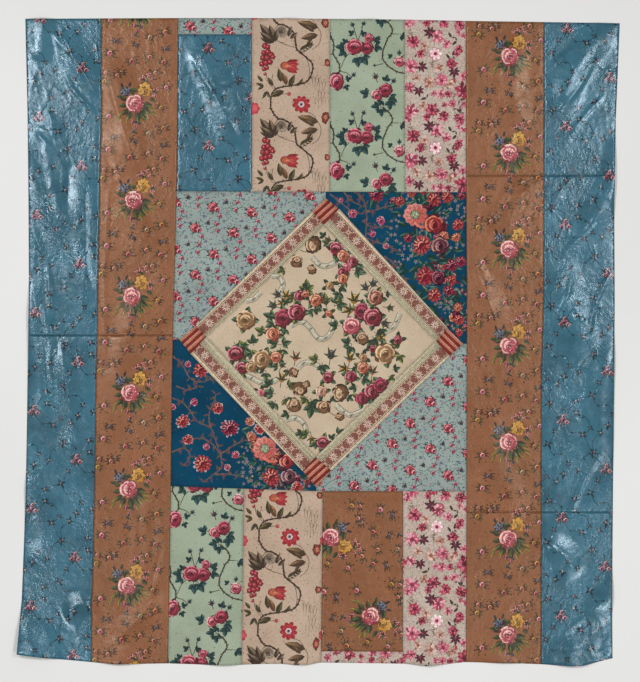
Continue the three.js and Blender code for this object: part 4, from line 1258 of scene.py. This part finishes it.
# What each patch is cut from: its print, where the print's origin falls, and its drift and turn
PATCHES = {
    "blue_left_head": ("glazed_blue", print_blue, (82.9, 68), {"slant": -0.0165}),
    "blue_left_foot": ("glazed_blue", print_blue, (82.9, 68), {"slant": -0.0165}),
    "brown_left_head": ("glazed_brown", print_brown, (135.0, 103.5), {"slant": -0.017}),
    "brown_left_foot": ("glazed_brown", print_brown, (135.0, 103.5), {"slant": -0.017}),
    "brown_right_head": ("glazed_brown", print_brown, (509.6, 56.5), {"slant": -0.003}),
    "brown_right_middle": ("glazed_brown", print_brown, (509.6, 56.5), {"slant": -0.003}),
    "brown_right_foot": ("glazed_brown", print_brown, (509.6, 56.5), {"slant": -0.003}),
    "blue_right_head": ("glazed_blue", print_blue, (567.0, 28.6), {"slant": -0.010}),
    "blue_right_middle": ("glazed_blue", print_blue, (567.0, 28.6), {"slant": -0.010}),
    "blue_right_foot": ("glazed_blue", print_blue, (567.0, 28.6), {"slant": -0.010}),
    "head_strip": ("teal_sprig", print_teal, (190, 26), {}),
    "head_blue": ("glazed_blue", print_blue, (208.5, 48), {}),
    "head_cream": ("cream_trail", print_cream_head, (272, 14), {}),
    "head_mint": ("mint_rose", print_mint, (354.6, 47), {}),
    "head_pink": ("pink_sprig", print_pink, (428.6, 32), {}),
    "foot_mint": ("mint_rose", print_mint, (194.2, 484.4), {"slant": -0.03}),
    "foot_cream": ("cream_trail", print_cream, (261.4, 446.3), {"slant": -0.012}),
    "foot_brown": ("glazed_brown", print_brown, (370.5, 616), {"turn": 88}),
    "foot_strip": ("pink_sprig", print_pink, (340, 640), {"turn": 90}),
    "foot_pink": ("pink_sprig", print_pink, (430, 505), {}),
    "corner_head_left": ("teal_sprig", print_teal, (213, 207), {}),
    "corner_head_right": ("deep_blue", print_chintz_head, (0, 0), {}),
    "corner_foot_right": ("teal_sprig", print_teal, (447.8, 381), {}),
    "corner_foot_left": ("deep_blue", print_chintz_foot, (0, 0), {}),
    "centre_panel": ("centre_cream", print_centre, (0, 0), {}),
}
BORDERS = ("border_head_right", "border_foot_right", "border_foot_left", "border_head_left")
BLOCK_SLOPES = {"block_top": -42, "block_right": 44, "block_bottom": -42, "block_left": -42}


# Surface of the cloth: rises in millimetres, then lengths in metres
DRAG_RISE = 1.5
FINE_DRAG_RISE = 0.75
PLAIN_DRAG_RISE = 0.7
BILLOW_RISE = 0.8
PUCKER_RISE = 0.42
SEAM_DIP = 0.8
RELIEF_FROM_RIM = 0.012
PUCKER_LENGTH = 0.0075
PUCKER_REACH = 0.011
PUCKER_FROM_RIM = 0.003
SEAM_DIP_REACH = 0.0035
# Reach of the darkening near the seams, which is painted shade and soil
SEAM_SHADE_AND_SOIL_REACH = 0.006

# How far the mesh's points keep from drawn shapes, in pitches
SHAPE_CLEARANCE = 0.9


def cloth_relief(points, corners, slot, seed):
    """Fine relief over the folds: billows, creases, crinkles and the drawn-in seams."""
    gap, along = rim_reading(points, corners)
    glazed = slot in GLAZED
    relief = crease_heights(points)
    away = 1 - np.exp(-gap / RELIEF_FROM_RIM)
    if glazed:
        drag = np.clip(1 - np.abs(waves(points, seed, 0.060, 14, (1.0, 0.45))) * 2.2, 0, 1) ** 2
        fine = np.clip(1 - np.abs(waves(points, seed + 1, 0.030, 14, (1.0, 0.7))) * 2.0, 0, 1) ** 2
        where = 0.5 + 0.5 * waves(points, seed + 2, 0.35, 8)
        raised = DRAG_RISE * drag * where + FINE_DRAG_RISE * fine * (1 - 0.5 * where)
        relief = relief + raised * away * MM
    else:
        drag = np.clip(1 - np.abs(waves(points, seed, 0.11, 12)) * 2.0, 0, 1) ** 2
        relief = relief + PLAIN_DRAG_RISE * drag * away * MM
    relief = relief + (0.5 + 0.5 * waves(points, seed + 3, 0.14, 10)) * BILLOW_RISE * away * MM
    phase = along / PUCKER_LENGTH + 2.0 * waves(points, seed + 4, 0.07, 6)
    pucker = np.sin(phase) * np.exp(-gap / PUCKER_REACH)
    relief = relief + PUCKER_RISE * pucker * (1 - np.exp(-gap / PUCKER_FROM_RIM)) * MM
    return relief - SEAM_DIP * np.exp(-((gap / SEAM_DIP_REACH) ** 2)) * MM, gap


def triangulated(outline, inner, shapes=()):
    """Triangles over an outline, cut along the drawn shapes, with the topmost shape of each."""
    spots = [Vector(point) for point in outline]
    faces = [list(range(len(spots)))]
    for shape in shapes:
        first = len(spots)
        spots.extend(Vector(point) for point in shape[0])
        faces.append(list(range(first, len(spots))))
    spots.extend(Vector(point) for point in inner)
    places, _, triangles, _, _, origins = delaunay_2d_cdt(spots, [], faces, 1, 1e-6, True)
    kept = [k for k, ids in enumerate(origins) if 0 in ids]
    places = np.array([place[:] for place in places])
    corners = np.array([triangles[k] for k in kept])
    a, b, c = (places[corners[:, k]] for k in range(3))
    turns = (b[:, 0] - a[:, 0]) * (c[:, 1] - a[:, 1]) - (b[:, 1] - a[:, 1]) * (c[:, 0] - a[:, 0])
    covered = np.zeros(len(faces))
    for k, turn in zip(kept, np.abs(turns)):
        covered[origins[k]] += turn
    own = np.array([np.inf] + [winding([tuple(spot) for spot in shape[0]]) for shape in shapes])
    sound = covered <= 1.5 * own + SMALLEST_PART
    top = np.array([max(shape for shape in origins[k] if sound[shape]) for k in kept])
    corners[turns < 0] = corners[turns < 0][:, ::-1]
    used, numbers = np.unique(corners, return_inverse=True)
    return places[used], numbers.reshape(corners.shape), top


def rim_loop(faces):
    """Corner numbers round the outer edge of the faces, in order."""
    edges = np.concatenate([faces[:, [0, 1]], faces[:, [1, 2]], faces[:, [2, 0]]])
    size = int(faces.max()) + 1
    keys = edges[:, 0].astype(np.int64) * size + edges[:, 1]
    mirrored = edges[:, 1].astype(np.int64) * size + edges[:, 0]
    outer = edges[~np.isin(keys, mirrored)]
    following = dict(outer.tolist())
    start = int(outer[0, 0])
    loop = [start]
    while following[loop[-1]] != start:
        loop.append(following[loop[-1]])
    return np.array(loop)


def solid_mesh(name, vertices, faces):
    """Mesh from arrays of places and triangles."""
    mesh = bpy.data.meshes.new(name)
    mesh.vertices.add(len(vertices))
    mesh.vertices.foreach_set("co", np.asarray(vertices, np.float32).ravel())
    mesh.loops.add(faces.size)
    mesh.loops.foreach_set("vertex_index", faces.astype(np.int32).ravel())
    mesh.polygons.add(len(faces))
    mesh.polygons.foreach_set("loop_start", np.arange(0, faces.size, 3, dtype=np.int32))
    mesh.update(calc_edges=True)
    mesh.validate()
    mesh.shade_smooth()
    return mesh


def cloth_mesh(name, corners, shapes, slot, seed):
    """Closed thin mesh of a patch with its print, and its print and seam attributes."""
    outline = fine_outline(corners)
    pitch = GLAZED_PITCH if slot in GLAZED else PLAIN_PITCH
    drawn = [spot for shape in shapes for spot in shape[0]]
    inner = clear_of(inner_points(outline, pitch, seed), drawn, SHAPE_CLEARANCE * pitch)
    places, faces, top = triangulated(outline, inner, shapes)
    loop = rim_loop(faces)
    rim = places[loop]
    under_places, under_faces, _ = triangulated(rim, inner_points(outline, UNDER_PITCH, seed + 9))
    relief, gap = cloth_relief(places, corners, slot, seed)
    heights = fold_heights(places) + CLOTH_TOP + relief

    vertices = np.vstack([
        np.column_stack([places, heights]),
        np.column_stack([under_places, fold_heights(under_places)]),
    ])
    first = len(places)
    numbers = {tuple(spot): k for k, spot in enumerate(np.round(under_places, 7).tolist())}
    below = first + np.array([numbers[tuple(spot)] for spot in np.round(rim, 7).tolist()])
    after, below_after = np.roll(loop, -1), np.roll(below, -1)
    walls = np.vstack([
        np.column_stack([below, below_after, after]),
        np.column_stack([below, after, loop]),
    ])
    mesh = solid_mesh(name, vertices, np.vstack([faces, first + under_faces[:, ::-1], walls]))
    paint(mesh, faces, top, places, shapes)
    # Nearness to the rim, which darkens the colour there: painted shade of the seams, and soil
    seam = mesh.attributes.new("Seam", "FLOAT", "POINT")
    nearness = np.zeros(len(vertices), np.float32)
    nearness[: len(gap)] = np.exp(-gap / SEAM_SHADE_AND_SOIL_REACH)
    seam.data.foreach_set("value", nearness)
    return mesh


def paint(mesh, faces, top, places, shapes):
    """Writes the print's colours on the face corners, with alpha 1 where there is ink."""
    colours = np.zeros((len(mesh.loops), 4), np.float32)
    if shapes:
        parts = zip(*(shape[1:] for shape in shapes))
        colour, glow, centre, reach = (np.array(part) for part in parts)
        inked = top > 0
        shape = top[inked] - 1
        for k in range(3):
            away = places[faces[inked, k]] - centre[shape]
            share = np.clip((np.hypot(*away.T) / reach[shape] - 0.35) / 0.65, 0, 1)[:, None]
            rows = 3 * np.flatnonzero(inked) + k
            colours[rows, :3] = glow[shape] * (1 - share) + colour[shape] * share
            colours[rows, 3] = 1
    layer = mesh.color_attributes.new("Print", "FLOAT_COLOR", "CORNER")
    layer.data.foreach_set("color", colours.ravel())


# Materials

class Nodes:
    """Short calls for building a material's nodes."""

    def __init__(self, name):
        self.material = bpy.data.materials.new(name)
        self.material.use_nodes = True
        self.tree = self.material.node_tree
        self.shader = self.tree.nodes["Principled BSDF"]
        self.places = self.tree.nodes.new("ShaderNodeTexCoord").outputs["Object"]

    def link(self, source, target):
        self.tree.links.new(source, target)

    def mapping(self, scale):
        node = self.tree.nodes.new("ShaderNodeMapping")
        node.inputs["Scale"].default_value = scale
        self.link(self.places, node.inputs["Vector"])
        return node.outputs["Vector"]

    def noise(self, scale, detail=3.0, roughness=0.55, stretch=None, distortion=0.0):
        node = self.tree.nodes.new("ShaderNodeTexNoise")
        node.inputs["Scale"].default_value = scale
        node.inputs["Detail"].default_value = detail
        node.inputs["Roughness"].default_value = roughness
        node.inputs["Distortion"].default_value = distortion
        self.link(self.mapping(stretch) if stretch else self.places, node.inputs["Vector"])
        return node.outputs["Fac"]

    def ramp(self, factor, low, high, start=0.0, end=1.0):
        node = self.tree.nodes.new("ShaderNodeMapRange")
        node.interpolation_type = "SMOOTHSTEP"
        node.inputs["From Min"].default_value = low
        node.inputs["From Max"].default_value = high
        node.inputs["To Min"].default_value = start
        node.inputs["To Max"].default_value = end
        self.link(factor, node.inputs["Value"])
        return node.outputs["Result"]

    def math(self, operation, first, second=None):
        node = self.tree.nodes.new("ShaderNodeMath")
        node.operation = operation
        for socket, value in zip(node.inputs, (first, second)):
            if isinstance(value, (int, float)):
                socket.default_value = value
            elif value is not None:
                self.link(value, socket)
        return node.outputs["Value"]

    def mix(self, factor, first, second, blend_type="MIX"):
        node = self.tree.nodes.new("ShaderNodeMix")
        node.data_type = "RGBA"
        node.blend_type = blend_type
        colour_inputs = [socket for socket in node.inputs if socket.type == "RGBA"]
        for socket, value in zip((node.inputs["Factor"], *colour_inputs), (factor, first, second)):
            if isinstance(value, (int, float)):
                socket.default_value = value
            elif isinstance(value, tuple):
                socket.default_value = (*value, 1.0)
            else:
                self.link(value, socket)
        return next(socket for socket in node.outputs if socket.type == "RGBA")

    def scaled(self, colour, factor):
        node = self.tree.nodes.new("ShaderNodeVectorMath")
        node.operation = "SCALE"
        self.link(colour, node.inputs[0])
        self.link(factor, node.inputs["Scale"])
        return node.outputs["Vector"]

    def attribute(self, name):
        node = self.tree.nodes.new("ShaderNodeAttribute")
        node.attribute_name = name
        return node


# Looks that all the cloths share: noise scales per metre, shares and depths
STREAK_SHARE = 0.16
SLUB_SCALE = (1500, 90)
SLUB_SHADES = (0.93, 1.05)
# Colour share left at the seams after the darkening of painted shade and soil
SEAM_SHADE_AND_SOIL = 0.9
PLAIN_SHINE = (0.12, (1.0, 1.0, 1.0))
PLAIN_SHEEN = 0.04
WEAVE_SCALE = (1700, 500)
WEAVE_DEPTH = 0.25 * MM
GLAZED_CRINKLE = 3.0 * MM
PLAIN_CRINKLE = 1.5 * MM

# Each cloth: two ground tones, the gloss, a vermicelli if any, and the tiny bits strewn on it.
# A row of bits gives their spacing and size in millimetres, length for width, turn, share and tones.
CLOTHS = {
    "glazed_blue": {
        "ground": ("29515f", "366778"), "gloss": 0.22, "lines": None, "shine": (0.7, (0.72, 0.88, 1.0)),
        "bits": [(26, 2.6, 3.2, 35, 0.6, ("17313d", "1f3d49", "6e2f3f", "213f3a"))],
    },
    "glazed_brown": {
        "ground": ("784b2e", "855437"), "gloss": 0.32, "lines": None, "shine": (0.5, (1.0, 0.8, 0.64)),
        "bits": [
            (19, 2.6, 2.6, 40, 0.55, ("4c2f1e", "3c3224", "8f4a2c", "5b3a26")),
            (21, 2.4, 2.2, -35, 0.5, ("4c2f1e", "9c6a3a", "2f3427", "96523f")),
            (30, 2.4, 1.4, 0, 0.4, ("96603c", "8c4a3c", "9c7440", "5f4c42")),
        ],
    },
    "teal_sprig": {
        "ground": ("838f89", "939f98"), "gloss": 0.8, "lines": ("6c8485", 120, 0.014),
        "bits": [
            (15, 3.0, 3.0, 25, 0.75, ("23403d", "2c504a", "3b4a58", "23403d")),
            (16, 2.8, 2.6, -50, 0.7, ("23403d", "345a50", "8e4a58", "2b3a52")),
            (20, 3.4, 1.2, 0, 0.6, ("a0505c", "8c7f96", "27305a", "b8747c")),
        ],
    },
    "deep_blue": {
        "ground": ("013349", "034059"), "gloss": 0.8, "lines": None,
        "bits": [(22, 2.4, 3.4, 60, 0.5, ("0c2c44", "5c4a48", "27404a", "0c2c44"))],
    },
    "cream_trail": {
        "ground": ("aa937f", "b9a28d"), "gloss": 0.85, "lines": ("8f7862", 60, 0.006),
        "bits": [
            (20, 2.3, 2.4, 55, 0.4, ("8a3a30", "6b5a48", "5b4634", "9c5a44")),
            (17, 1.9, 1.6, -30, 0.35, ("94483a", "6d6a48", "5b4634", "a06450")),
        ],
    },
    "mint_rose": {
        "ground": ("8e9882", "9ba690"), "gloss": 0.8, "lines": ("87977f", 90, 0.008),
        "bits": [(34, 2.4, 3.0, 20, 0.25, ("35483c", "4c5c48", "35483c", "6b4a48"))],
    },
    "pink_sprig": {
        "ground": ("b0a193", "beafa2"), "gloss": 0.85, "lines": ("7d6656", 85, 0.016),
        "bits": [
            (13, 2.2, 4.2, 30, 0.6, ("8a7464", "6d5648", "8f6a66", "9c8a78")),
            (14, 2.2, 4.2, -38, 0.6, ("7d6656", "96505c", "6d5648", "9c8a78")),
        ],
    },
    "centre_cream": {
        "ground": ("b4a188", "c0ae95"), "gloss": 0.85, "lines": ("a8937a", 110, 0.012), "bits": [],
    },
    "border_print": {
        "ground": ("a89a80", "b8aa90"), "gloss": 0.85, "lines": ("8f806a", 90, 0.01), "bits": [],
    },
    "block_stripe": {"ground": ("6c2a24", "7a352c"), "gloss": 0.8, "lines": None, "bits": []},
}


def strewn_bits(n, ground, bits):
    """Tiny elongated bits of print over the ground, one to a cell, in a few tones."""
    spacing, size, long, turn, share, tones = bits
    turned = n.tree.nodes.new("ShaderNodeMapping")
    turned.inputs["Rotation"].default_value = (0, 0, math.radians(turn))
    wobble = n.tree.nodes.new("ShaderNodeTexNoise")
    wobble.inputs["Scale"].default_value = 90
    wobble.inputs["Detail"].default_value = 1.0
    n.link(n.places, wobble.inputs["Vector"])
    shifted = n.tree.nodes.new("ShaderNodeVectorMath")
    shifted.operation = "MULTIPLY_ADD"
    n.link(wobble.outputs["Color"], shifted.inputs[0])
    shifted.inputs[1].default_value = (0.008, 0.008, 0)
    n.link(n.places, shifted.inputs[2])
    n.link(shifted.outputs["Vector"], turned.inputs["Vector"])
    squeezed = n.tree.nodes.new("ShaderNodeMapping")
    squeezed.inputs["Scale"].default_value = (1 / math.sqrt(long), math.sqrt(long), 1)
    n.link(turned.outputs["Vector"], squeezed.inputs["Vector"])
    cells = n.tree.nodes.new("ShaderNodeTexVoronoi")
    cells.voronoi_dimensions = "2D"
    cells.inputs["Scale"].default_value = 1000 / spacing
    n.link(squeezed.outputs["Vector"], cells.inputs["Vector"])
    parts = n.tree.nodes.new("ShaderNodeSeparateColor")
    n.link(cells.outputs["Color"], parts.inputs["Color"])
    reach = size / spacing
    spot = n.ramp(cells.outputs["Distance"], reach * 0.6, reach, 1.0, 0.0)
    present = n.math("LESS_THAN", parts.outputs["Green"], share)
    choice = n.tree.nodes.new("ShaderNodeValToRGB")
    choice.color_ramp.interpolation = "CONSTANT"
    stops = choice.color_ramp.elements
    while len(stops) < len(tones):
        stops.new(0.5)
    for k, colour in enumerate(tones):
        stops[k].position = k / len(tones)
        stops[k].color = (*tone(colour), 1)
    n.link(parts.outputs["Red"], choice.inputs["Fac"])
    return n.mix(n.math("MULTIPLY", n.math("MULTIPLY", spot, present), 0.85), ground, choice.outputs["Color"])


def ground_colour(n, facts):
    """Clouded ground with streaks along the warp, the vermicelli if any, and the strewn bits."""
    dark, light = (tone(text) for text in facts["ground"])
    cloudy = n.ramp(n.noise(5.5, 4, 0.6), 0.3, 0.7)
    ground = n.mix(cloudy, dark, light)
    streaks = n.ramp(n.noise(1, 3, 0.6, (260, 14, 1)), 0.35, 0.7)
    ground = n.mix(n.math("MULTIPLY", streaks, STREAK_SHARE), ground, dark)
    if facts["lines"]:
        colour, scale, half = facts["lines"]
        wander = n.math("ABSOLUTE", n.math("SUBTRACT", n.noise(scale, 1.5, 0.4), 0.5))
        line = n.ramp(wander, half * 0.6, half * 1.5, 0.75, 0.0)
        ground = n.mix(line, ground, tone(colour))
    for bits in facts["bits"]:
        ground = strewn_bits(n, ground, bits)
    return ground


def printed_colour(n, ground):
    """Ink over the ground, worn through in places and uneven as from an engraved roller."""
    ink = n.attribute("Print")
    worn = n.ramp(n.noise(420, 2, 0.5), 0.28, 0.44, 0.66, 0.97)
    engraved = n.scaled(ink.outputs["Color"], n.ramp(n.noise(300, 2.5, 0.65), 0.34, 0.66, 0.62, 1.38))
    return n.mix(n.math("MULTIPLY", ink.outputs["Alpha"], worn), ground, engraved)


def thread_shade(n):
    """Light and dark of the threads, and the painted shade and soil that darken the seams."""
    stipple = n.ramp(n.noise(650, 1, 0.5), 0.3, 0.7, 0.84, 1.1)
    slub_up = n.ramp(n.noise(1, 2, 0.6, (*SLUB_SCALE, 1)), 0.3, 0.7, *SLUB_SHADES)
    slub_across = n.ramp(n.noise(1, 2, 0.6, (*SLUB_SCALE[::-1], 1)), 0.3, 0.7, *SLUB_SHADES)
    shade = n.math("MULTIPLY", n.math("MULTIPLY", stipple, slub_up), slub_across)
    # Darker near the rims of each patch: painted shade of the seam grooves, and soil
    seam_shade_and_soil = n.ramp(n.attribute("Seam").outputs["Fac"], 0.1, 1.0, 1.0, SEAM_SHADE_AND_SOIL)
    return n.math("MULTIPLY", shade, seam_shade_and_soil)


def set_gloss(n, facts, glazed):
    """Uneven gloss, with the shine of glazed cloth in its own tint."""
    gloss = facts["gloss"]
    rough = n.ramp(n.noise(16, 4, 0.6), 0.3, 0.72, gloss - 0.04, gloss + 0.1)
    n.link(rough, n.shader.inputs["Roughness"])
    shine, tint = facts.get("shine", PLAIN_SHINE)
    n.shader.inputs["Specular IOR Level"].default_value = shine
    n.shader.inputs["Specular Tint"].default_value = (*tint, 1.0)
    n.shader.inputs["Sheen Weight"].default_value = 0.0 if glazed else PLAIN_SHEEN


def set_bump(n, glazed):
    """Weave over fine crinkles, which are deeper on glazed cloth and come in zones."""
    weave = n.math("ADD", *(n.noise(1, 2, 0.5, (*scale, 1)) for scale in (WEAVE_SCALE, WEAVE_SCALE[::-1])))
    bump = n.tree.nodes.new("ShaderNodeBump")
    bump.inputs["Strength"].default_value = 0.35
    bump.inputs["Distance"].default_value = WEAVE_DEPTH
    n.link(weave, bump.inputs["Height"])
    crinkle = n.tree.nodes.new("ShaderNodeBump")
    crinkle.inputs["Strength"].default_value = 1.0 if glazed else 0.5
    crinkle.inputs["Distance"].default_value = GLAZED_CRINKLE if glazed else PLAIN_CRINKLE
    coarse = n.math("ABSOLUTE", n.math("SUBTRACT", n.noise(38, 3, 0.55, (1.0, 0.75, 1.0), 0.5), 0.5))
    fine = n.math("ABSOLUTE", n.math("SUBTRACT", n.noise(95, 2, 0.5, (0.8, 1.1, 1.0), 0.3), 0.5))
    field = n.math("ADD", coarse, n.math("MULTIPLY", fine, 0.35))
    zones = n.ramp(n.noise(4.6, 2, 0.5, (1.5, 0.8, 1.0)), 0.4, 0.6, 0.3, 1.3)
    n.link(n.math("MULTIPLY", field, zones), crinkle.inputs["Height"])
    n.link(crinkle.outputs["Normal"], bump.inputs["Normal"])
    n.link(bump.outputs["Normal"], n.shader.inputs["Normal"])


def cloth_material(slot):
    """Printed cotton: ground, ink, threads, seams darkened by painted shade and soil, gloss and weave."""
    facts = CLOTHS[slot]
    n = Nodes(slot)
    glazed = slot in GLAZED
    colour = printed_colour(n, ground_colour(n, facts))
    n.link(n.scaled(colour, thread_shade(n)), n.shader.inputs["Base Color"])
    set_gloss(n, facts, glazed)
    set_bump(n, glazed)
    return n.material


def make_patch(node, slot, shapes, corners, material, seed):
    """Printed cloth that stands for one node."""
    mesh = cloth_mesh(f"{node}_cloth", corners, shapes, slot, seed)
    mesh.materials.append(material)
    piece = bpy.data.objects.new(f"{node}_cloth", mesh)
    bpy.context.scene.collection.objects.link(piece)
    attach(piece, "root")
    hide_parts(node)
    (width, length), area = flat_size(corners)
    min(area, width * length)
    return piece


FIRST_SEED = 11
SEED_STEP = 17


def make_coverlet():
    """Every patch of the coverlet."""
    materials = {slot: cloth_material(slot) for slot in CLOTHS}
    seed = FIRST_SEED
    for node, (slot, draw_print, (x, y), facts) in PATCHES.items():
        corners = outline_of(node)
        drawing = Drawing(corners, seed)
        drawing.place(x, y, **facts)
        draw_print(drawing)
        make_patch(node, slot, drawing.shapes, corners, materials[slot], seed)
        seed += SEED_STEP
    for node in BORDERS:
        corners = outline_of(node)
        drawing = Drawing(corners, seed)
        print_border(drawing, corners)
        make_patch(node, "border_print", drawing.shapes, corners, materials["border_print"], seed)
        seed += SEED_STEP
    for node, slope in BLOCK_SLOPES.items():
        corners = outline_of(node)
        drawing = Drawing(corners, seed)
        print_block(drawing, corners, slope)
        make_patch(node, "block_stripe", drawing.shapes, corners, materials["block_stripe"], seed)
        seed += SEED_STEP


# Surroundings
IMAGE_WIDTH, IMAGE_HEIGHT = 640, 682
CAMERA_HEIGHT = 9.0
SENSOR_HEIGHT = 24.0
WORLD_STRENGTH = 0.33
FLOOR_SIZE = 30
FLOOR_GAP = 0.4 * MM
LIGHTS = (
    ("light_left", (-3.0, 1.6, 5.4), 1.3, 150),
    ("light_right", (3.1, 1.1, 5.4), 1.2, 118),
    ("light_foot_left", (-2.7, -2.6, 5.2), 1.1, 82),
    ("light_foot_right", (2.8, -2.6, 5.2), 1.1, 84),
)


def make_floor():
    """Plain pale floor."""
    bpy.ops.mesh.primitive_plane_add(size=FLOOR_SIZE, location=(0, 0, -FLOOR_GAP))
    floor = bpy.context.object
    floor.name = "floor"
    n = Nodes("floor")
    colour = n.mix(n.ramp(n.noise(0.5, 2, 0.5), 0.3, 0.7), tone("d3d2cf"), tone("d9d8d5"))
    n.link(colour, n.shader.inputs["Base Color"])
    n.shader.inputs["Roughness"].default_value = 0.95
    n.shader.inputs["Specular IOR Level"].default_value = 0.1
    floor.data.materials.append(n.material)


def make_light(name, place, size, power):
    """Square area light that faces the middle of the cloth."""
    data = bpy.data.lights.new(name, "AREA")
    data.shape = "SQUARE"
    data.size = size
    data.energy = power
    light = bpy.data.objects.new(name, data)
    light.location = place
    light.rotation_euler = (-Vector(place)).to_track_quat("-Z", "Y").to_euler()
    bpy.context.scene.collection.objects.link(light)


def make_camera():
    """Camera straight above the cloth."""
    data = bpy.data.cameras.new("camera")
    data.sensor_fit = "VERTICAL"
    data.sensor_height = SENSOR_HEIGHT
    data.lens = SENSOR_HEIGHT * CAMERA_HEIGHT / (IMAGE_HEIGHT * SQUARE)
    data.clip_end = 60
    camera = bpy.data.objects.new("camera", data)
    camera.location = (
        (IMAGE_WIDTH / 2 - CHART_MIDDLE[0]) * SQUARE,
        (CHART_MIDDLE[1] - IMAGE_HEIGHT / 2) * SQUARE,
        CAMERA_HEIGHT,
    )
    bpy.context.scene.collection.objects.link(camera)
    bpy.context.scene.camera = camera


def make_world():
    """Soft even light from all round."""
    world = bpy.data.worlds.new("world")
    world.use_nodes = True
    background = world.node_tree.nodes["Background"]
    background.inputs["Color"].default_value = (0.93, 0.95, 1.0, 1.0)
    background.inputs["Strength"].default_value = WORLD_STRENGTH
    bpy.context.scene.world = world


make_camera()
make_world()
for light in LIGHTS:
    make_light(*light)
make_floor()
make_coverlet()

bpy.context.scene.view_settings.view_transform = "Standard"
